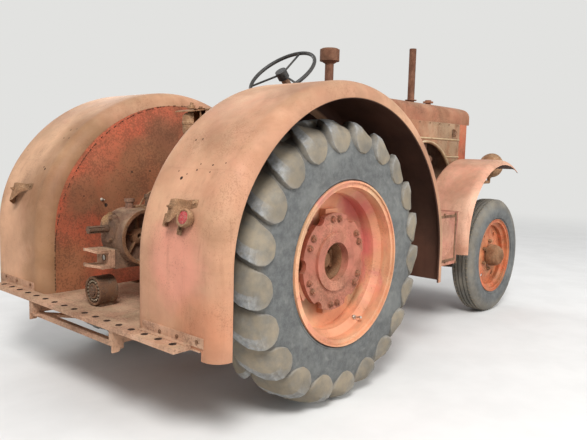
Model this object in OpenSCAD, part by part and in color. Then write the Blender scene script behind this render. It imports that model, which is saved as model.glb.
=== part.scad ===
// Vintage standard farm tractor with full rear fenders, as an assembly of separate pieces.
// Millimetres. +X is forward, +Y is the tractor's left and +Z is up.
// The origin is on the ground under the middle of the whole tractor.

/* [Stance] */
// Distance between the rear and the front axle
wheelbase = 2220; // [2100:10:2400]
// Distance between the middles of the rear tyres
rear_track = 1420; // [1400:5:1440]
// Distance between the middles of the front tyres
front_track = 1060; // [1050:5:1080]

/* [Rear wheels] */
// Diameter of a rear tyre over its lugs
rear_tyre_d = 1310; // [1280:5:1330]
// Width of a rear tyre over its shoulders
rear_tyre_w = 346; // [330:2:350]
// Height of a lug above the tread between the lugs
lug_h = 36; // [25:1:45]
// Lugs on each side of a rear tyre
lugs_a_side = 21; // [18:1:24]
// Bead seat diameter of a rear rim
rear_rim_d = 711; // [700:1:720]
// Width of a rear rim over its flanges
rear_rim_w = 332; // [320:2:340]
// Height of a rear rim's flange above the bead seat
rear_flange_h = 21; // [15:1:25]
// Sheet thickness of a rear rim
rear_rim_t = 8; // [6:1:12]
// Diameter of the cast wheel centre
centre_d = 450; // [420:5:460]
// Hole in the middle of the cast wheel centre
centre_hole_d = 180; // [160:5:190]
// Depth of the cast wheel centre behind the rim's outer flange
centre_depth = 88; // [80:1:110]
// Thickness of the cast wheel centre
centre_t = 26; // [20:1:32]
// Diameter of a rear axle shaft
rear_shaft_d = 76; // [60:2:90]

/* [Front wheels] */
// Diameter of a front tyre
front_tyre_d = 845; // [820:5:860]
// Width of a front tyre
front_tyre_w = 176; // [165:1:185]
// Ribs round a front tyre
ribs = 5; // [3:2:7]
// Depth of the grooves between the ribs
rib_h = 12; // [8:1:16]
// Bead seat diameter of a front rim
front_rim_d = 508; // [500:1:515]
// Width of a front rim over its flanges
front_rim_w = 145; // [135:1:155]
// Height of a front rim's flange above the bead seat
front_flange_h = 19; // [14:1:22]
// Sheet thickness of a front rim
front_rim_t = 6; // [5:1:8]
// Diameter of a front wheel spindle
spindle_d = 44; // [36:2:50]

/* [Front axle and steering] */
// Distance between the kingpins
kingpin_span = 830; // [800:5:840]
// Diameter of a kingpin
kingpin_d = 32; // [26:1:38]
// Height of the axle's eye round a kingpin
kingpin_eye_h = 110; // [90:5:120]
// Length of the steering arms
steer_arm = 150; // [120:5:160]
// Diameter of the pins in the steering arms
steer_pin_d = 18; // [14:1:20]
// From the front axle back to the shaft of the middle steering arm
pitman_back = 180; // [160:5:200]
// Diameter of the steering wheel
steer_wheel_d = 438; // [410:2:460]

/* [Rear fenders] */
// Radius of a rear fender over its crown
crown_r = 859; // [850:1:875]
// Radius of the rounded shoulders of a rear fender
shoulder_r = 70; // [60:1:80]
// From the middle of the tractor to a rear fender's inner wall
wall_y = 387; // [370:1:395]
// From the middle of the tractor to a rear fender's outer lip
lip_y = 901; // [895:1:910]
// Sheet thickness of the fenders
sheet = 4; // [3:0.5:6]
// Middle of the fender's arch in front of the rear axle
fender_x = 12; // [0:1:40]
// Height of the middle of the fender's arch
fender_z = 612; // [600:1:625]
// How far a rear fender's back leg stands in from the full arch
rear_inset = 30; // [20:1:40]
// From the middle of the arch to the middle of the tighter arc at its back
rear_corner = 187; // [160:1:220]
// Height of a rear fender's front edge
fender_front_z = 460; // [440:5:480]

/* [Rear deck] */
// Height of the top of the rear deck
deck_z = 420; // [400:2:440]
// Thickness of the deck plate
deck_t = 6; // [4:1:10]
// Width of the deck across the tractor
deck_w = 1620; // [1560:10:1640]
// Width of the drawbar rail, front to back
rail_w = 80; // [70:1:90]
// Thickness of the drawbar rail
rail_t = 18; // [14:1:24]
// Holes along the drawbar rail
rail_holes = 17; // [9:2:17]
// Diameter of the holes in the drawbar rail
rail_hole_d = 26; // [20:1:30]
// Distance from hole to hole in the drawbar rail
rail_pitch = 88; // [75:1:92]
// How far the drawbar rail reaches behind the rear fenders
rail_overhang = 83; // [82:1:120]

/* [Hood] */
// Width of the hood
hood_w = 540; // [520:5:560]
// Height of the joint between the hood's top and sides
hood_joint_z = 1400; // [1390:5:1410]
// Height of the hood's top above its joint line
hood_rise = 150; // [130:5:160]
// How far the hood reaches in front of the front axle
hood_overhang = 140; // [120:5:160]
// Back of the hood, in front of the rear axle
hood_back_x = 980; // [940:10:1020]
// Lower edge of the hood's sides
hood_low_z = 800; // [780:5:820]
// Radius of the round opening in the hood's side
arch_r = 402; // [380:2:410]
// Middle of the round opening in front of the rear axle
arch_x = 1704; // [1690:2:1720]
// Height of the middle of the round opening
arch_z = 844; // [830:2:850]
// Height of the exhaust pipe's end
exhaust_top = 1920; // [1880:10:1960]
// Height of the lower edge of the air intake's cap
intake_cap_z = 1742; // [1700:2:1780]

/* [Front fenders] */
// Radius of a front fender over its crown
nose_crown_r = 560; // [540:5:580]
// Radius of a front fender's outer lip
nose_lip_r = 524; // [515:1:535]
// Middle of a front fender's arch behind the front axle
nose_back = 40; // [20:5:60]
// Height of the middle of a front fender's arch
nose_z = 578; // [565:1:590]
// From the middle of the tractor to a front fender's outer lip
nose_lip_y = 662; // [650:1:670]
// From the middle of the tractor to a front fender's inner edge
nose_wall_y = 300; // [290:5:320]

/* [Power take-off and hitch] */
// Height of the power take-off shaft
pto_z = 780; // [760:5:800]
// Diameter of the power take-off shaft over its splines
pto_d = 35; // [30:1:40]
// From the rear axle back to the tip of the power take-off shaft
pto_reach = 790; // [770:5:810]
// Height of the middle of the hitch jaw
jaw_z = 648; // [640:2:660]
// Opening of the hitch jaw
jaw_gap = 60; // [50:2:70]

/* [Hidden] */

$fn = 96;

// Gap between curved faces of neighbouring pieces, and between pieces that are bolted together
seat_gap = 0.3;
// Radial clearance of a turning pin or shaft
run_gap = 0.05;
// Overlap that joins two solids of one piece
bond = 1;

// Places worked out from the sizes above, with X counted from the rear axle
front_reach = wheelbase + front_tyre_d / 2;
rail_reach = crown_r - rear_inset - fender_x + rail_overhang;
rear_x = -(front_reach - rail_reach) / 2;
hood_front_x = wheelbase + hood_overhang;
rear_z = rear_tyre_d / 2;
front_z = front_tyre_d / 2;
rear_flange_y = rear_track / 2 + rear_rim_w / 2;
front_flange_y = front_track / 2 + front_rim_w / 2;
kingpin_y = kingpin_span / 2;
seam_r = crown_r - shoulder_r;
hood_half = hood_w / 2;
hood_top_z = hood_joint_z + hood_rise;
nose_x = wheelbase - nose_back;
rail_x = -rail_reach + rail_w / 2;

// Colours as the photographed tractor shows them
rust = [0.56, 0.36, 0.26];
faded = [0.72, 0.47, 0.35];
red = [0.72, 0.30, 0.20];
salmon = [0.84, 0.50, 0.36];
primer = [0.62, 0.52, 0.40];
iron = [0.40, 0.36, 0.33];
black = [0.25, 0.25, 0.26];

module from_rear_axle() { translate([rear_x, 0, 0]) children(); }

// Puts a shape drawn on the tractor's left side on the side asked for: 1 is left and -1 is right
module on_side(side) { if (side > 0) children(); else mirror([0, 1, 0]) children(); }

module both_sides() { children(); mirror([0, 1, 0]) children(); }

// Turns a profile (radius, distance from the middle) about an axis across the tractor
module revolve_y(angle = 360, from = 0) {
    rotate([90, 0, 0]) mirror([0, 0, 1]) rotate([0, 0, from]) rotate_extrude(angle = angle) children();
}

// A round bar across the tractor from y0 to y1
module bar_y(r, y0, y1) { translate([0, y0, 0]) rotate([-90, 0, 0]) cylinder(r = r, h = y1 - y0); }

// A round bar along the tractor from x0 to x1
module bar_x(r, x0, x1) { translate([x0, 0, 0]) rotate([0, 90, 0]) cylinder(r = r, h = x1 - x0); }

// A block between two corners
module block(a, b) { translate(a) cube(b - a); }

// A side view (x, z) given thickness across the tractor from y0 to y1
module side_plate(y0, y1) { translate([0, y1, 0]) rotate([90, 0, 0]) linear_extrude(y1 - y0) children(); }

// A round bar between two points
module rod(a, b, r) {
    d = b - a;
    translate(a) rotate([0, acos(d.z / norm(d)), atan2(d.y, d.x)]) cylinder(r = r, h = norm(d));
}

// Rear tyre: a closed ring with swept lugs, whose middle ends lead when the wheel rolls forward
tread_r = rear_tyre_d / 2 - lug_h;
bead_r = (rear_rim_d / 2 + seat_gap) / cos(90 / lugs_a_side);
side_h = tread_r - bead_r;
half_w = rear_tyre_w / 2;
lug_pitch = 360 / lugs_a_side;
// Columns: share of the sidewall's height, share of the half width
TYRE_SECTION = [[0, 0.84], [0.30, 0.96], [0.62, 0.97], [0.90, 0.80]];
// Columns: distance from the middle plane as a share of the half width, lead angle in degrees,
// height of the top above the tread as a share of the lug's height, length of the top, length of the foot
LUG_STATIONS = [[-0.05, 6.2, 1, 34, 66], [0.50, 2.9, 0.99, 44, 80], [0.90, 0, 0.70, 66, 100]];
// How deep a lug is rooted below the tread, and how far its tongue lags, in degrees
lug_root = 30;
tongue_lag = -0.8;
// The tongue in which a lug runs down the sidewall: distance below the tread, share of the half width,
// length along the tyre
TONGUE = [[62, 0.99, 70], [84, 0.95, 36]];

function tyre_half() = [for (row = TYRE_SECTION) [bead_r + row[0] * side_h, row[1] * half_w]];
function mirrored(points) = [for (i = [len(points) - 1:-1:0]) [points[i].x, -points[i].y]];
// A point of a lug from its distance along the tread, its place across the tyre and its radius
function on_tread(along, share, r, lead) =
    [r * sin(lead) + along * cos(lead), share * half_w, r * cos(lead) - along * sin(lead)];
function foot(row, edge) = on_tread(edge * row[4], row[0], tread_r - lug_root, row[1]);
function top(row, edge) = on_tread(edge * row[3], row[0], tread_r + row[2] * lug_h, row[1]);
function station(row) = [for (edge = [-0.5, 0.5]) each [foot(row, edge), top(row, edge)]];
function tongue() = [for (row = TONGUE) for (edge = [-0.5, 0.5])
    on_tread(edge * row[2], row[1], tread_r - row[0], tongue_lag)];

// The smallest convex block round a set of points
module wrap(points) { hull() polyhedron(points, [[for (i = [0:len(points) - 1]) i]]); }

module lug() {
    wrap(concat(station(LUG_STATIONS[0]), station(LUG_STATIONS[1])));
    wrap(concat(station(LUG_STATIONS[1]), station(LUG_STATIONS[2])));
    wrap(concat(station(LUG_STATIONS[2]), tongue()));
}

module rear_tyre(side) {
    color(black) from_rear_axle() translate([0, side * rear_track / 2, rear_z]) {
        revolve_y($fn = 2 * lugs_a_side)
            polygon(concat(tyre_half(), [[tread_r, 0]], mirrored(tyre_half())));
        for (i = [0:lugs_a_side - 1]) {
            rotate([0, i * lug_pitch, 0]) lug();
            rotate([0, (i + 0.5) * lug_pitch, 0]) mirror([0, 1, 0]) lug();
        }
    }
}

// Rim section, drawn inward from the outer flange.
// Columns: distance from the outer flange as a share of the rim's width, depth below the bead seat
WELL = [[0.19, 0], [0.27, 1], [0.62, 1], [0.70, 0]];

module rim_section(seat_r, width, flange, thick, well_depth) {
    outer = concat([[seat_r + flange, 0], [seat_r + flange, 1.6 * thick], [seat_r, 1.6 * thick]],
        [for (row = WELL) [seat_r - row[1] * well_depth, row[0] * width]],
        [[seat_r, width - 1.6 * thick], [seat_r + flange, width - 1.6 * thick], [seat_r + flange, width]]);
    inner = concat([[seat_r + flange - thick, width], [seat_r + flange - thick, width - thick],
        [seat_r - thick, width - thick]],
        [for (i = [3:-1:0]) [seat_r - thick - WELL[i][1] * well_depth, WELL[i][0] * width]],
        [[seat_r - thick, thick], [seat_r + flange - thick, thick], [seat_r + flange - thick, 0]]);
    polygon(concat(outer, inner));
}

rear_well = 30;
rear_well_r = rear_rim_d / 2 - rear_well - rear_rim_t;
disc_t = 10;
disc_depth = centre_depth + centre_t + 34;
lobes = 6;
lobe_bolt_r = centre_d / 2 - 26;

// The wheel's own space: Y is 0 at the outer flange and grows towards the tractor
module rear_wheel_space(side) {
    from_rear_axle() on_side(side) translate([0, rear_flange_y, rear_z]) mirror([0, 1, 0]) children();
}

module rear_rim(side) {
    color(salmon) rear_wheel_space(side) {
        revolve_y() rim_section(rear_rim_d / 2, rear_rim_w, rear_flange_h, rear_rim_t, rear_well);
        difference() {
            bar_y(rear_well_r + bond, disc_depth, disc_depth + disc_t);
            bar_y(centre_d / 2 - 60, disc_depth - bond, disc_depth + disc_t + bond);
        }
        for (i = [0:lobes - 1]) rotate([0, i * 360 / lobes, 0]) difference() {
            block([-46, centre_depth + centre_t, lobe_bolt_r - 26],
                [46, disc_depth + bond, lobe_bolt_r + 44]);
            for (x = [-24, 24])
                translate([x, 0, lobe_bolt_r]) bar_y(9, centre_depth, disc_depth - bond);
        }
    }
}

// Cast centre: six lobes with notches between them, a raised ring and a pair of bolts in each lobe
module rear_centre(side) {
    color(salmon) rear_wheel_space(side) difference() {
        union() {
            bar_y(centre_d / 2, centre_depth, centre_depth + centre_t);
            bar_y(centre_hole_d / 2 + 45, centre_depth - 12, centre_depth + bond);
        }
        bar_y(centre_hole_d / 2, centre_depth - 20, centre_depth + centre_t + bond);
        for (i = [0:lobes - 1]) rotate([0, (i + 0.5) * 360 / lobes, 0])
            translate([0, 0, centre_d / 2 + 12])
                bar_y(34, centre_depth - bond, centre_depth + centre_t + bond);
        for (i = [0:lobes - 1]) rotate([0, i * 360 / lobes, 0]) for (x = [-24, 24])
            translate([x, 0, lobe_bolt_r]) bar_y(9, centre_depth - bond, centre_depth + centre_t + bond);
    }
}

hub_face = centre_depth + centre_t;
hub_cup_r = centre_hole_d / 2 - 6;
hub_floor = hub_face + 52;
tube_end_y = 592;
tube_bore = 90;

module rear_hub(side) {
    inner_end = rear_flange_y - (tube_end_y - tube_bore + 8);
    color(rust) rear_wheel_space(side) {
        revolve_y() polygon([[0, hub_floor - 26], [34, hub_floor - 26], [34, hub_floor - 4], [40, hub_floor],
            [hub_cup_r, hub_floor], [hub_cup_r, hub_face], [centre_hole_d / 2 + 40, hub_face],
            [centre_hole_d / 2 + 40, hub_face + 18], [hub_cup_r + 12, hub_face + 18],
            [hub_cup_r + 12, hub_floor + 14], [rear_shaft_d / 2, hub_floor + 14],
            [rear_shaft_d / 2, inner_end], [0, inner_end]]);
        for (i = [0:5]) rotate([0, i * 60, 0]) translate([0, 0, 62])
            rotate([0, 30, 0]) translate([0, hub_floor - 12, 0]) rotate([-90, 0, 0])
                cylinder(r = 12, h = 12 + bond, $fn = 6);
    }
}

// Front tyre with straight ribs: the grooves are cut in a crowned tread
module front_tyre(side) {
    r = front_tyre_d / 2;
    w = front_tyre_w / 2;
    seat = front_rim_d / 2 + seat_gap;
    rim_half = front_rim_w / 2 - 1.6 * front_rim_t - seat_gap;
    shoulder = r - 22;
    rib_pitch = 1.3 * w / ribs;
    half = [[seat, rim_half], [seat + front_flange_h, rim_half], [seat + 44, w - 4], [seat + 78, w],
        [seat + 118, w - 5], [shoulder - 12, w - 14], [shoulder, w - 22], [r - 6, w - 34], [r, w - 58]];
    color(black) from_rear_axle() translate([wheelbase, side * front_track / 2, front_z]) revolve_y()
        difference() {
            polygon(concat(half, mirrored(half)));
            for (i = [1:ribs - 1])
                translate([r - rib_h, (i - ribs / 2) * rib_pitch - 3.5]) square([2 * rib_h, 7]);
        }
}

// The wheel's own space, as on the rear wheels
module front_wheel_space(side) {
    from_rear_axle() on_side(side) translate([wheelbase, front_flange_y, front_z])
        mirror([0, 1, 0]) children();
}

front_well = 24;
front_disc_y = 64;
front_disc_t = 8;
disc_dish = 14;
disc_hole_r = 66;
nut_circle_r = 105;
nut_r = 15;
stud_r = 8;
hub_face_y = front_disc_y - disc_dish + front_disc_t;

module front_wheel(side) {
    well_r = front_rim_d / 2 - front_well - front_rim_t;
    color(salmon) front_wheel_space(side) {
        revolve_y() rim_section(front_rim_d / 2, front_rim_w, front_flange_h, front_rim_t, front_well);
        difference() {
            revolve_y() polygon([[disc_hole_r, front_disc_y - disc_dish], [134, front_disc_y - disc_dish],
                [well_r + bond, front_disc_y], [well_r + bond, front_disc_y + front_disc_t],
                [132, hub_face_y], [disc_hole_r, hub_face_y]]);
            for (i = [0:5]) rotate([0, i * 60 + 30, 0]) {
                translate([0, 0, 172]) bar_y(15, 0, 100);
                rotate([0, 30, 0]) translate([0, 0, nut_circle_r]) bar_y(stud_r + seat_gap, 0, 100);
            }
        }
    }
}

module front_hub(side) {
    inner = front_flange_y - kingpin_y - 64;
    color(rust) front_wheel_space(side) {
        difference() {
            revolve_y() polygon([[0, -60], [34, -57], [58, -44], [74, -20], [80, 6], [80, 34],
                [disc_hole_r - 0.5, 40], [disc_hole_r - 0.5, hub_face_y], [124, hub_face_y],
                [124, hub_face_y + 14], [70, hub_face_y + 14], [58, inner], [0, inner]]);
            bar_y(spindle_d / 2 + run_gap, 20, inner + bond);
        }
        for (i = [0:5]) rotate([0, i * 60, 0]) translate([0, 0, nut_circle_r]) {
            bar_y(stud_r, front_disc_y - 36, hub_face_y + bond);
            translate([0, front_disc_y - disc_dish - 16, 0]) rotate([-90, 0, 0])
                cylinder(r = nut_r, h = 16, $fn = 6);
        }
    }
}

// Front axle: a forged beam of I section with an eye for each kingpin, hung on a pin under the bolster
beam_z = front_z + 42;
axle_pin_r = 20;
module front_axle() {
    color(iron) from_rear_axle() difference() {
        translate([wheelbase, 0, 0]) {
            for (z = [beam_z - 36, beam_z + 24]) block([-34, -300, z], [34, 300, z + 12]);
            block([-8, -300, beam_z - 30], [8, 300, beam_z + 30]);
            block([-44, -60, beam_z - 40], [44, 60, beam_z + 40]);
            both_sides() beam_end();
            both_sides() translate([0, kingpin_y, front_z - kingpin_eye_h / 2])
                cylinder(r = 34, h = kingpin_eye_h);
        }
        for (side = [-1, 1]) translate([wheelbase, side * kingpin_y, 0])
            cylinder(r = kingpin_d / 2 + run_gap, h = 2 * front_z);
        translate([0, 0, beam_z]) bar_x(axle_pin_r + seat_gap, wheelbase - 60, wheelbase + 60);
    }
}

// The end of the beam, sloping down from its middle height to the kingpin's eye
module beam_end() {
    rotate([90, 0, 90]) translate([0, 0, -26]) linear_extrude(52)
        polygon([[290, beam_z - 36], [290, beam_z + 36], [kingpin_y - 20, front_z + 38],
            [kingpin_y - 20, front_z - 38]]);
}

// Steering knuckle: a yoke round the axle's eye, with its kingpin, spindle and arm
yoke_t = 20;
yoke_gap = 0.5;
yoke_z = kingpin_eye_h / 2 + yoke_gap;
arm_top_z = front_z - yoke_z;
module knuckle(side) {
    color(iron) from_rear_axle() on_side(side) translate([wheelbase, kingpin_y, front_z]) {
        translate([0, 0, -yoke_z - yoke_t]) cylinder(r = kingpin_d / 2, h = 2 * (yoke_z + yoke_t));
        for (z = [-yoke_z - yoke_t, yoke_z]) translate([0, 0, z]) {
            cylinder(r = 34, h = yoke_t);
            block([-30, 0, 0], [30, 58, yoke_t]);
        }
        block([-30, 40, -yoke_z - yoke_t], [30, 58, yoke_z + yoke_t]);
        bar_y(spindle_d / 2 + 12, 57, 57 + bond);
        bar_y(spindle_d / 2, 50, front_flange_y - kingpin_y - 24);
        difference() {
            union() {
                block([-steer_arm, -20, -yoke_z - yoke_t], [0, 20, -yoke_z]);
                translate([-steer_arm, 0, -yoke_z - yoke_t]) cylinder(r = 20, h = yoke_t);
            }
            translate([-steer_arm, 0, -yoke_z - yoke_t - bond])
                cylinder(r = steer_pin_d / 2 + run_gap, h = yoke_t + 2 * bond);
        }
    }
}

pitman_x = wheelbase - pitman_back;
pitman_shaft_d = 36;
box_low_z = front_z - 10;
module pitman_arm() {
    color(iron) from_rear_axle() translate([pitman_x, 0, arm_top_z - yoke_t]) {
        cylinder(r = 30, h = yoke_t);
        cylinder(r = pitman_shaft_d / 2, h = box_low_z + 70 - arm_top_z + yoke_t);
        difference() {
            union() {
                block([-steer_arm, -20, 0], [0, 20, yoke_t]);
                translate([-steer_arm, 0, 0]) cylinder(r = 20, h = yoke_t);
            }
            translate([-steer_arm, 0, -bond]) cylinder(r = steer_pin_d / 2 + run_gap, h = yoke_t + 2 * bond);
        }
    }
}

// A tie rod runs from the middle arm to a knuckle's arm. The left one lies on the arms, the right one
// lies under them
module tie_rod(side) {
    eye_h = 32;
    low = side > 0 ? arm_top_z + yoke_gap : arm_top_z - yoke_t - yoke_gap - eye_h;
    pin_low = side > 0 ? arm_top_z - yoke_t / 2 + yoke_gap : arm_top_z - yoke_t - yoke_gap - bond;
    inner = [pitman_x - steer_arm, 0, low + eye_h / 2];
    outer = [wheelbase - steer_arm, side * kingpin_y, low + eye_h / 2];
    color(iron) from_rear_axle() {
        way = (outer - inner) / norm(outer - inner);
        rod(inner + 12 * way, outer - 12 * way, 12);
        for (p = [inner, outer]) {
            translate([p.x, p.y, low]) cylinder(r = 20, h = eye_h);
            translate([p.x, p.y, pin_low]) cylinder(r = steer_pin_d / 2, h = yoke_t / 2 + bond);
        }
    }
}

// Gearbox and clutch housing, with a drum open to the right at its back
case_half = 175;
case_back = -330;
case_top_z = 960;
bell_x = 1150;
drum_x = -560;
drum_z = 742;
drum_r = 128;
drum_wall = 14;
drum_y = 118;
drum_depth = 84;
housing_top_z = 866;
hitch_face_x = -690;
nose_r = 76;
cover_x = -690;
cover_t = 22;
cover_ear_r = 17;
lever_base_z = 880;
module gearbox() {
    color(iron) from_rear_axle() difference() {
        union() {
            intersection() {
                side_plate(-case_half, case_half) polygon([[case_back, 500], [-250, 440], [900, 440],
                    [bell_x, 500], [bell_x, case_top_z], [930, case_top_z], [760, lever_base_z],
                    [330, lever_base_z], [250, 900], [-260, 900], [case_back, 850]]);
                rotate([90, 0, 90]) translate([0, 0, case_back]) linear_extrude(bell_x - case_back)
                    polygon([[-110, 430], [110, 430], [case_half, 455], [case_half, 840], [130, 970],
                        [-130, 970], [-case_half, 840], [-case_half, 455]]);
            }
            translate([0, 0, pto_z]) bar_x(nose_r, cover_x + cover_t, case_back + bond);
            translate([drum_x, 0, drum_z]) bar_y(drum_r, -drum_y, 60);
            block([drum_x, -90, drum_z - 96], [case_back + bond, 70, housing_top_z]);
            block([hitch_face_x, -62, 600], [case_back + bond, 62, 690]);
            // Filler with its cap
            translate([drum_x, 20, drum_z + 110]) {
                cylinder(r = 19, h = 60);
                translate([0, 0, 46]) cylinder(r = 24, h = 14);
            }
            // Post between the seat's springs
            translate([-470, 0, housing_top_z - bond]) cylinder(r = 13, h = 60);
            translate([-470, 0, housing_top_z + 50]) cylinder(r = 17, h = 16);
            // Bearing cover of the power take-off
            translate([0, 0, pto_z]) {
                bar_x(64, cover_x, cover_x + cover_t + bond);
                for (a = [0, 120, 240]) rotate([a, 0, 0]) translate([0, 56, 0])
                    bar_x(cover_ear_r, cover_x + 4, cover_x + cover_t + bond);
            }
        }
        translate([drum_x, 0, drum_z]) bar_y(drum_r - drum_wall, -drum_y - bond, -drum_y + drum_depth);
        translate([0, 0, pto_z]) {
            bar_x(pto_d / 2 + run_gap, cover_x - bond, case_back);
            bar_x(pto_d / 2 + 6, cover_x + cover_t, case_back);
        }
    }
    // Stub shaft inside the round opening
    color(iron) from_rear_axle() translate([drum_x + 30, 0, drum_z + 24])
        bar_y(13, -drum_y + 22, -drum_y + drum_depth + bond);
}

// Power take-off shaft with straight splines
module pto_shaft() {
    color(iron) from_rear_axle() translate([0, 0, pto_z]) {
        bar_x(pto_d / 2, cover_x - 4, case_back - 40);
        difference() {
            bar_x(pto_d / 2, -pto_reach, cover_x - 4 + bond);
            for (i = [0:5]) rotate([i * 60, 0, 0]) block([-pto_reach - bond, -3.5, pto_d / 2 - 4],
                [-pto_reach + 76, 3.5, pto_d]);
        }
    }
}

// Rear axle tubes with their end flanges
hanger_seat_r = 100;
module axle_tubes() {
    color(iron) from_rear_axle() both_sides() translate([0, 0, rear_z]) difference() {
        revolve_y() polygon([[0, case_half], [150, case_half], [150, case_half + 22], [118, case_half + 40],
            [hanger_seat_r, 300], [hanger_seat_r, 400], [86, 480], [86, tube_end_y - 26],
            [122, tube_end_y - 26], [122, tube_end_y], [0, tube_end_y]]);
        bar_y(rear_shaft_d / 2 + run_gap, tube_end_y - tube_bore, tube_end_y + bond);
    }
}

// Engine: crankcase, cylinder block and head
engine_half = 190;
engine_front = hood_front_x - 400;
engine_low = 520;
crankcase_top = 730;
engine_top = 1200;
cylinder_half = 140;
head_low = 1075;
head_half = 160;
module engine() {
    color(iron) from_rear_axle() {
        block([bell_x, -engine_half, engine_low], [engine_front, engine_half, crankcase_top]);
        block([bell_x, -cylinder_half, crankcase_top - bond], [engine_front, cylinder_half, head_low]);
        block([bell_x + 40, -head_half, head_low - bond], [engine_front - 20, head_half, engine_top]);
    }
}

// What is bolted to the engine, each piece cut flush with the face that it sits on
cylinders = 4;
first_x = 1300;
cylinder_pitch = 170;
last_x = first_x + (cylinders - 1) * cylinder_pitch;
port_z = 1128;
port_r = 22;
log_r = 29;
log_y = 208;
riser_half = 32;
riser_top = engine_top + 56;
dynamo_z = crankcase_top + 150;
pump_z = 850;
pump_y = 172;
pump_pitch = 66;
pipe_r = 4;
module engine_fittings() {
    color(iron) difference() {
        from_rear_axle() {
            rotate([90, 0, 90]) translate([0, 0, first_x - 110]) linear_extrude(last_x - first_x + 200)
                valve_cover_section();
            exhaust_manifold();
            // Intake manifold on the left
            for (i = [0:cylinders - 1]) translate([first_x + i * cylinder_pitch, 0, port_z])
                bar_y(port_r - 4, head_half - 20, log_y);
            translate([0, log_y, port_z]) bar_x(log_r - 4, first_x - 30, last_x + 30);
            injection_pump();
            left_side_fittings();
            pulley(0, 800, 84);
            pulley(0, 1010, 62);
        }
        engine();
    }
}

module valve_cover_section() {
    low = -56;
    high = 112;
    round = 24;
    edge_z = engine_top + 50;
    translate([low, engine_top]) square([high - low, edge_z - engine_top]);
    translate([low + round, edge_z - bond]) square([high - low - 2 * round, round + bond]);
    for (y = [low + round, high - round]) translate([y, edge_z]) circle(r = round);
}

// Exhaust manifold on the right, with the elbow that carries the pipe over the head
module exhaust_manifold() {
    for (i = [0:cylinders - 1]) translate([first_x + i * cylinder_pitch, 0, port_z])
        bar_y(port_r, -log_y, -head_half + 20);
    translate([0, -log_y, port_z]) bar_x(log_r, first_x - 50, last_x + 50);
    block([exhaust_x - riser_half, -log_y - 24, port_z], [exhaust_x + riser_half, -log_y + 26, riser_top]);
    block([exhaust_x - riser_half, -log_y - 24, engine_top + 5],
        [exhaust_x + riser_half, exhaust_y + riser_half, riser_top]);
}

// Injection pump with its governor, its risers and the pipes to the head
module injection_pump() {
    block([first_x + 130, -pump_y - 14, pump_z - 44], [last_x + 20, -cylinder_half + 20, pump_z + 30]);
    translate([0, -pump_y + 24, pump_z - 4]) bar_x(46, first_x + 40, first_x + 130 + bond);
    for (i = [0:cylinders - 1]) translate([first_x + 190 + i * pump_pitch, -pump_y, pump_z]) {
        cylinder(r = 9, h = 70);
        rod([0, 0, 45], [i * (cylinder_pitch - pump_pitch) - 150, 4, head_low + 12 - pump_z], pipe_r);
    }
}

// Starter, oil filter and dynamo
module left_side_fittings() {
    translate([0, cylinder_half, crankcase_top + 80]) bar_x(48, bell_x + 20, bell_x + 200);
    translate([first_x + 180, cylinder_half + 6, crankcase_top]) cylinder(r = 42, h = 190);
    translate([0, cylinder_half, dynamo_z]) bar_x(52, last_x - 110, last_x + 90);
    block([last_x - 60, cylinder_half - 40, crankcase_top], [last_x + 40, cylinder_half + 24, dynamo_z - 30]);
    pulley(cylinder_half, dynamo_z, 40);
}

// A belt pulley in front of the engine, on its shaft
module pulley(y, z, r) {
    translate([0, y, z]) {
        bar_x(r, engine_front + 8, engine_front + 34);
        bar_x(0.4 * r, last_x + 80, engine_front + 50);
    }
}

// Casting in front of the engine, which carries the radiator, the front axle and the steering arm's shaft
bolster_front = hood_front_x - 26;
bolster_top = 690;
module front_bolster() {
    color(iron) from_rear_axle() difference() {
        union() {
            side_plate(-150, 150) polygon([[engine_front, engine_low], [bolster_front - 74, engine_low],
                [bolster_front, engine_low + 40], [bolster_front, bolster_top], [engine_front, bolster_top]]);
            for (x = [wheelbase - 74, wheelbase + 50]) block([x, -56, beam_z - 46], [x + 24, 56, 530]);
            translate([0, 0, beam_z]) bar_x(axle_pin_r, wheelbase - 84, wheelbase + 84);
            translate([pitman_x, 0, box_low_z]) cylinder(r = 46, h = 120);
        }
        translate([pitman_x, 0, box_low_z - bond]) cylinder(r = pitman_shaft_d / 2 + run_gap, h = 80);
    }
}

// Rear fender shell: an arch with round shoulders, whose back is bent tighter, on straight legs
tight_angle = acos(rear_inset / rear_corner - 1);
tight_mid = [rear_corner * cos(tight_angle), rear_corner * sin(tight_angle)];
lip_bead_r = 6;
seam_gap_angle = 0.03;
module fender_profile() {
    intersection() {
        difference() {
            fender_solid(0);
            fender_solid(sheet);
        }
        translate([seam_r - sheet, 0]) square([2 * shoulder_r, 2 * lip_y]);
    }
    translate([seam_r - sheet, lip_y - lip_bead_r]) circle(r = lip_bead_r);
}

module fender_solid(inset) {
    for (y = [wall_y + shoulder_r, lip_y - shoulder_r]) translate([seam_r, y]) circle(r = shoulder_r - inset);
    translate([0, wall_y + inset]) square([seam_r, lip_y - wall_y - 2 * inset]);
    translate([0, wall_y + shoulder_r]) square([crown_r - inset, lip_y - wall_y - 2 * shoulder_r]);
}

// The space of a fender, with its origin in the middle of the arch
module fender_space(side) { from_rear_axle() on_side(side) translate([fender_x, 0, fender_z]) children(); }

// The space on a fender's back at height z: X is 0 on the crown and grows inward
module crown_space(z) {
    r = crown_r - rear_corner;
    from_rear_axle() translate([fender_x + tight_mid.x, 0, fender_z + tight_mid.y])
        rotate([0, asin((z - fender_z - tight_mid.y) / r), 0]) translate([-r, 0, 0]) children();
}

module rear_fender(side) {
    color(faded) fender_space(side) {
        revolve_y(angle = tight_angle) fender_profile();
        translate([0, 0, fender_front_z - fender_z])
            linear_extrude(fender_z - fender_front_z) fender_profile();
    }
}

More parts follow.
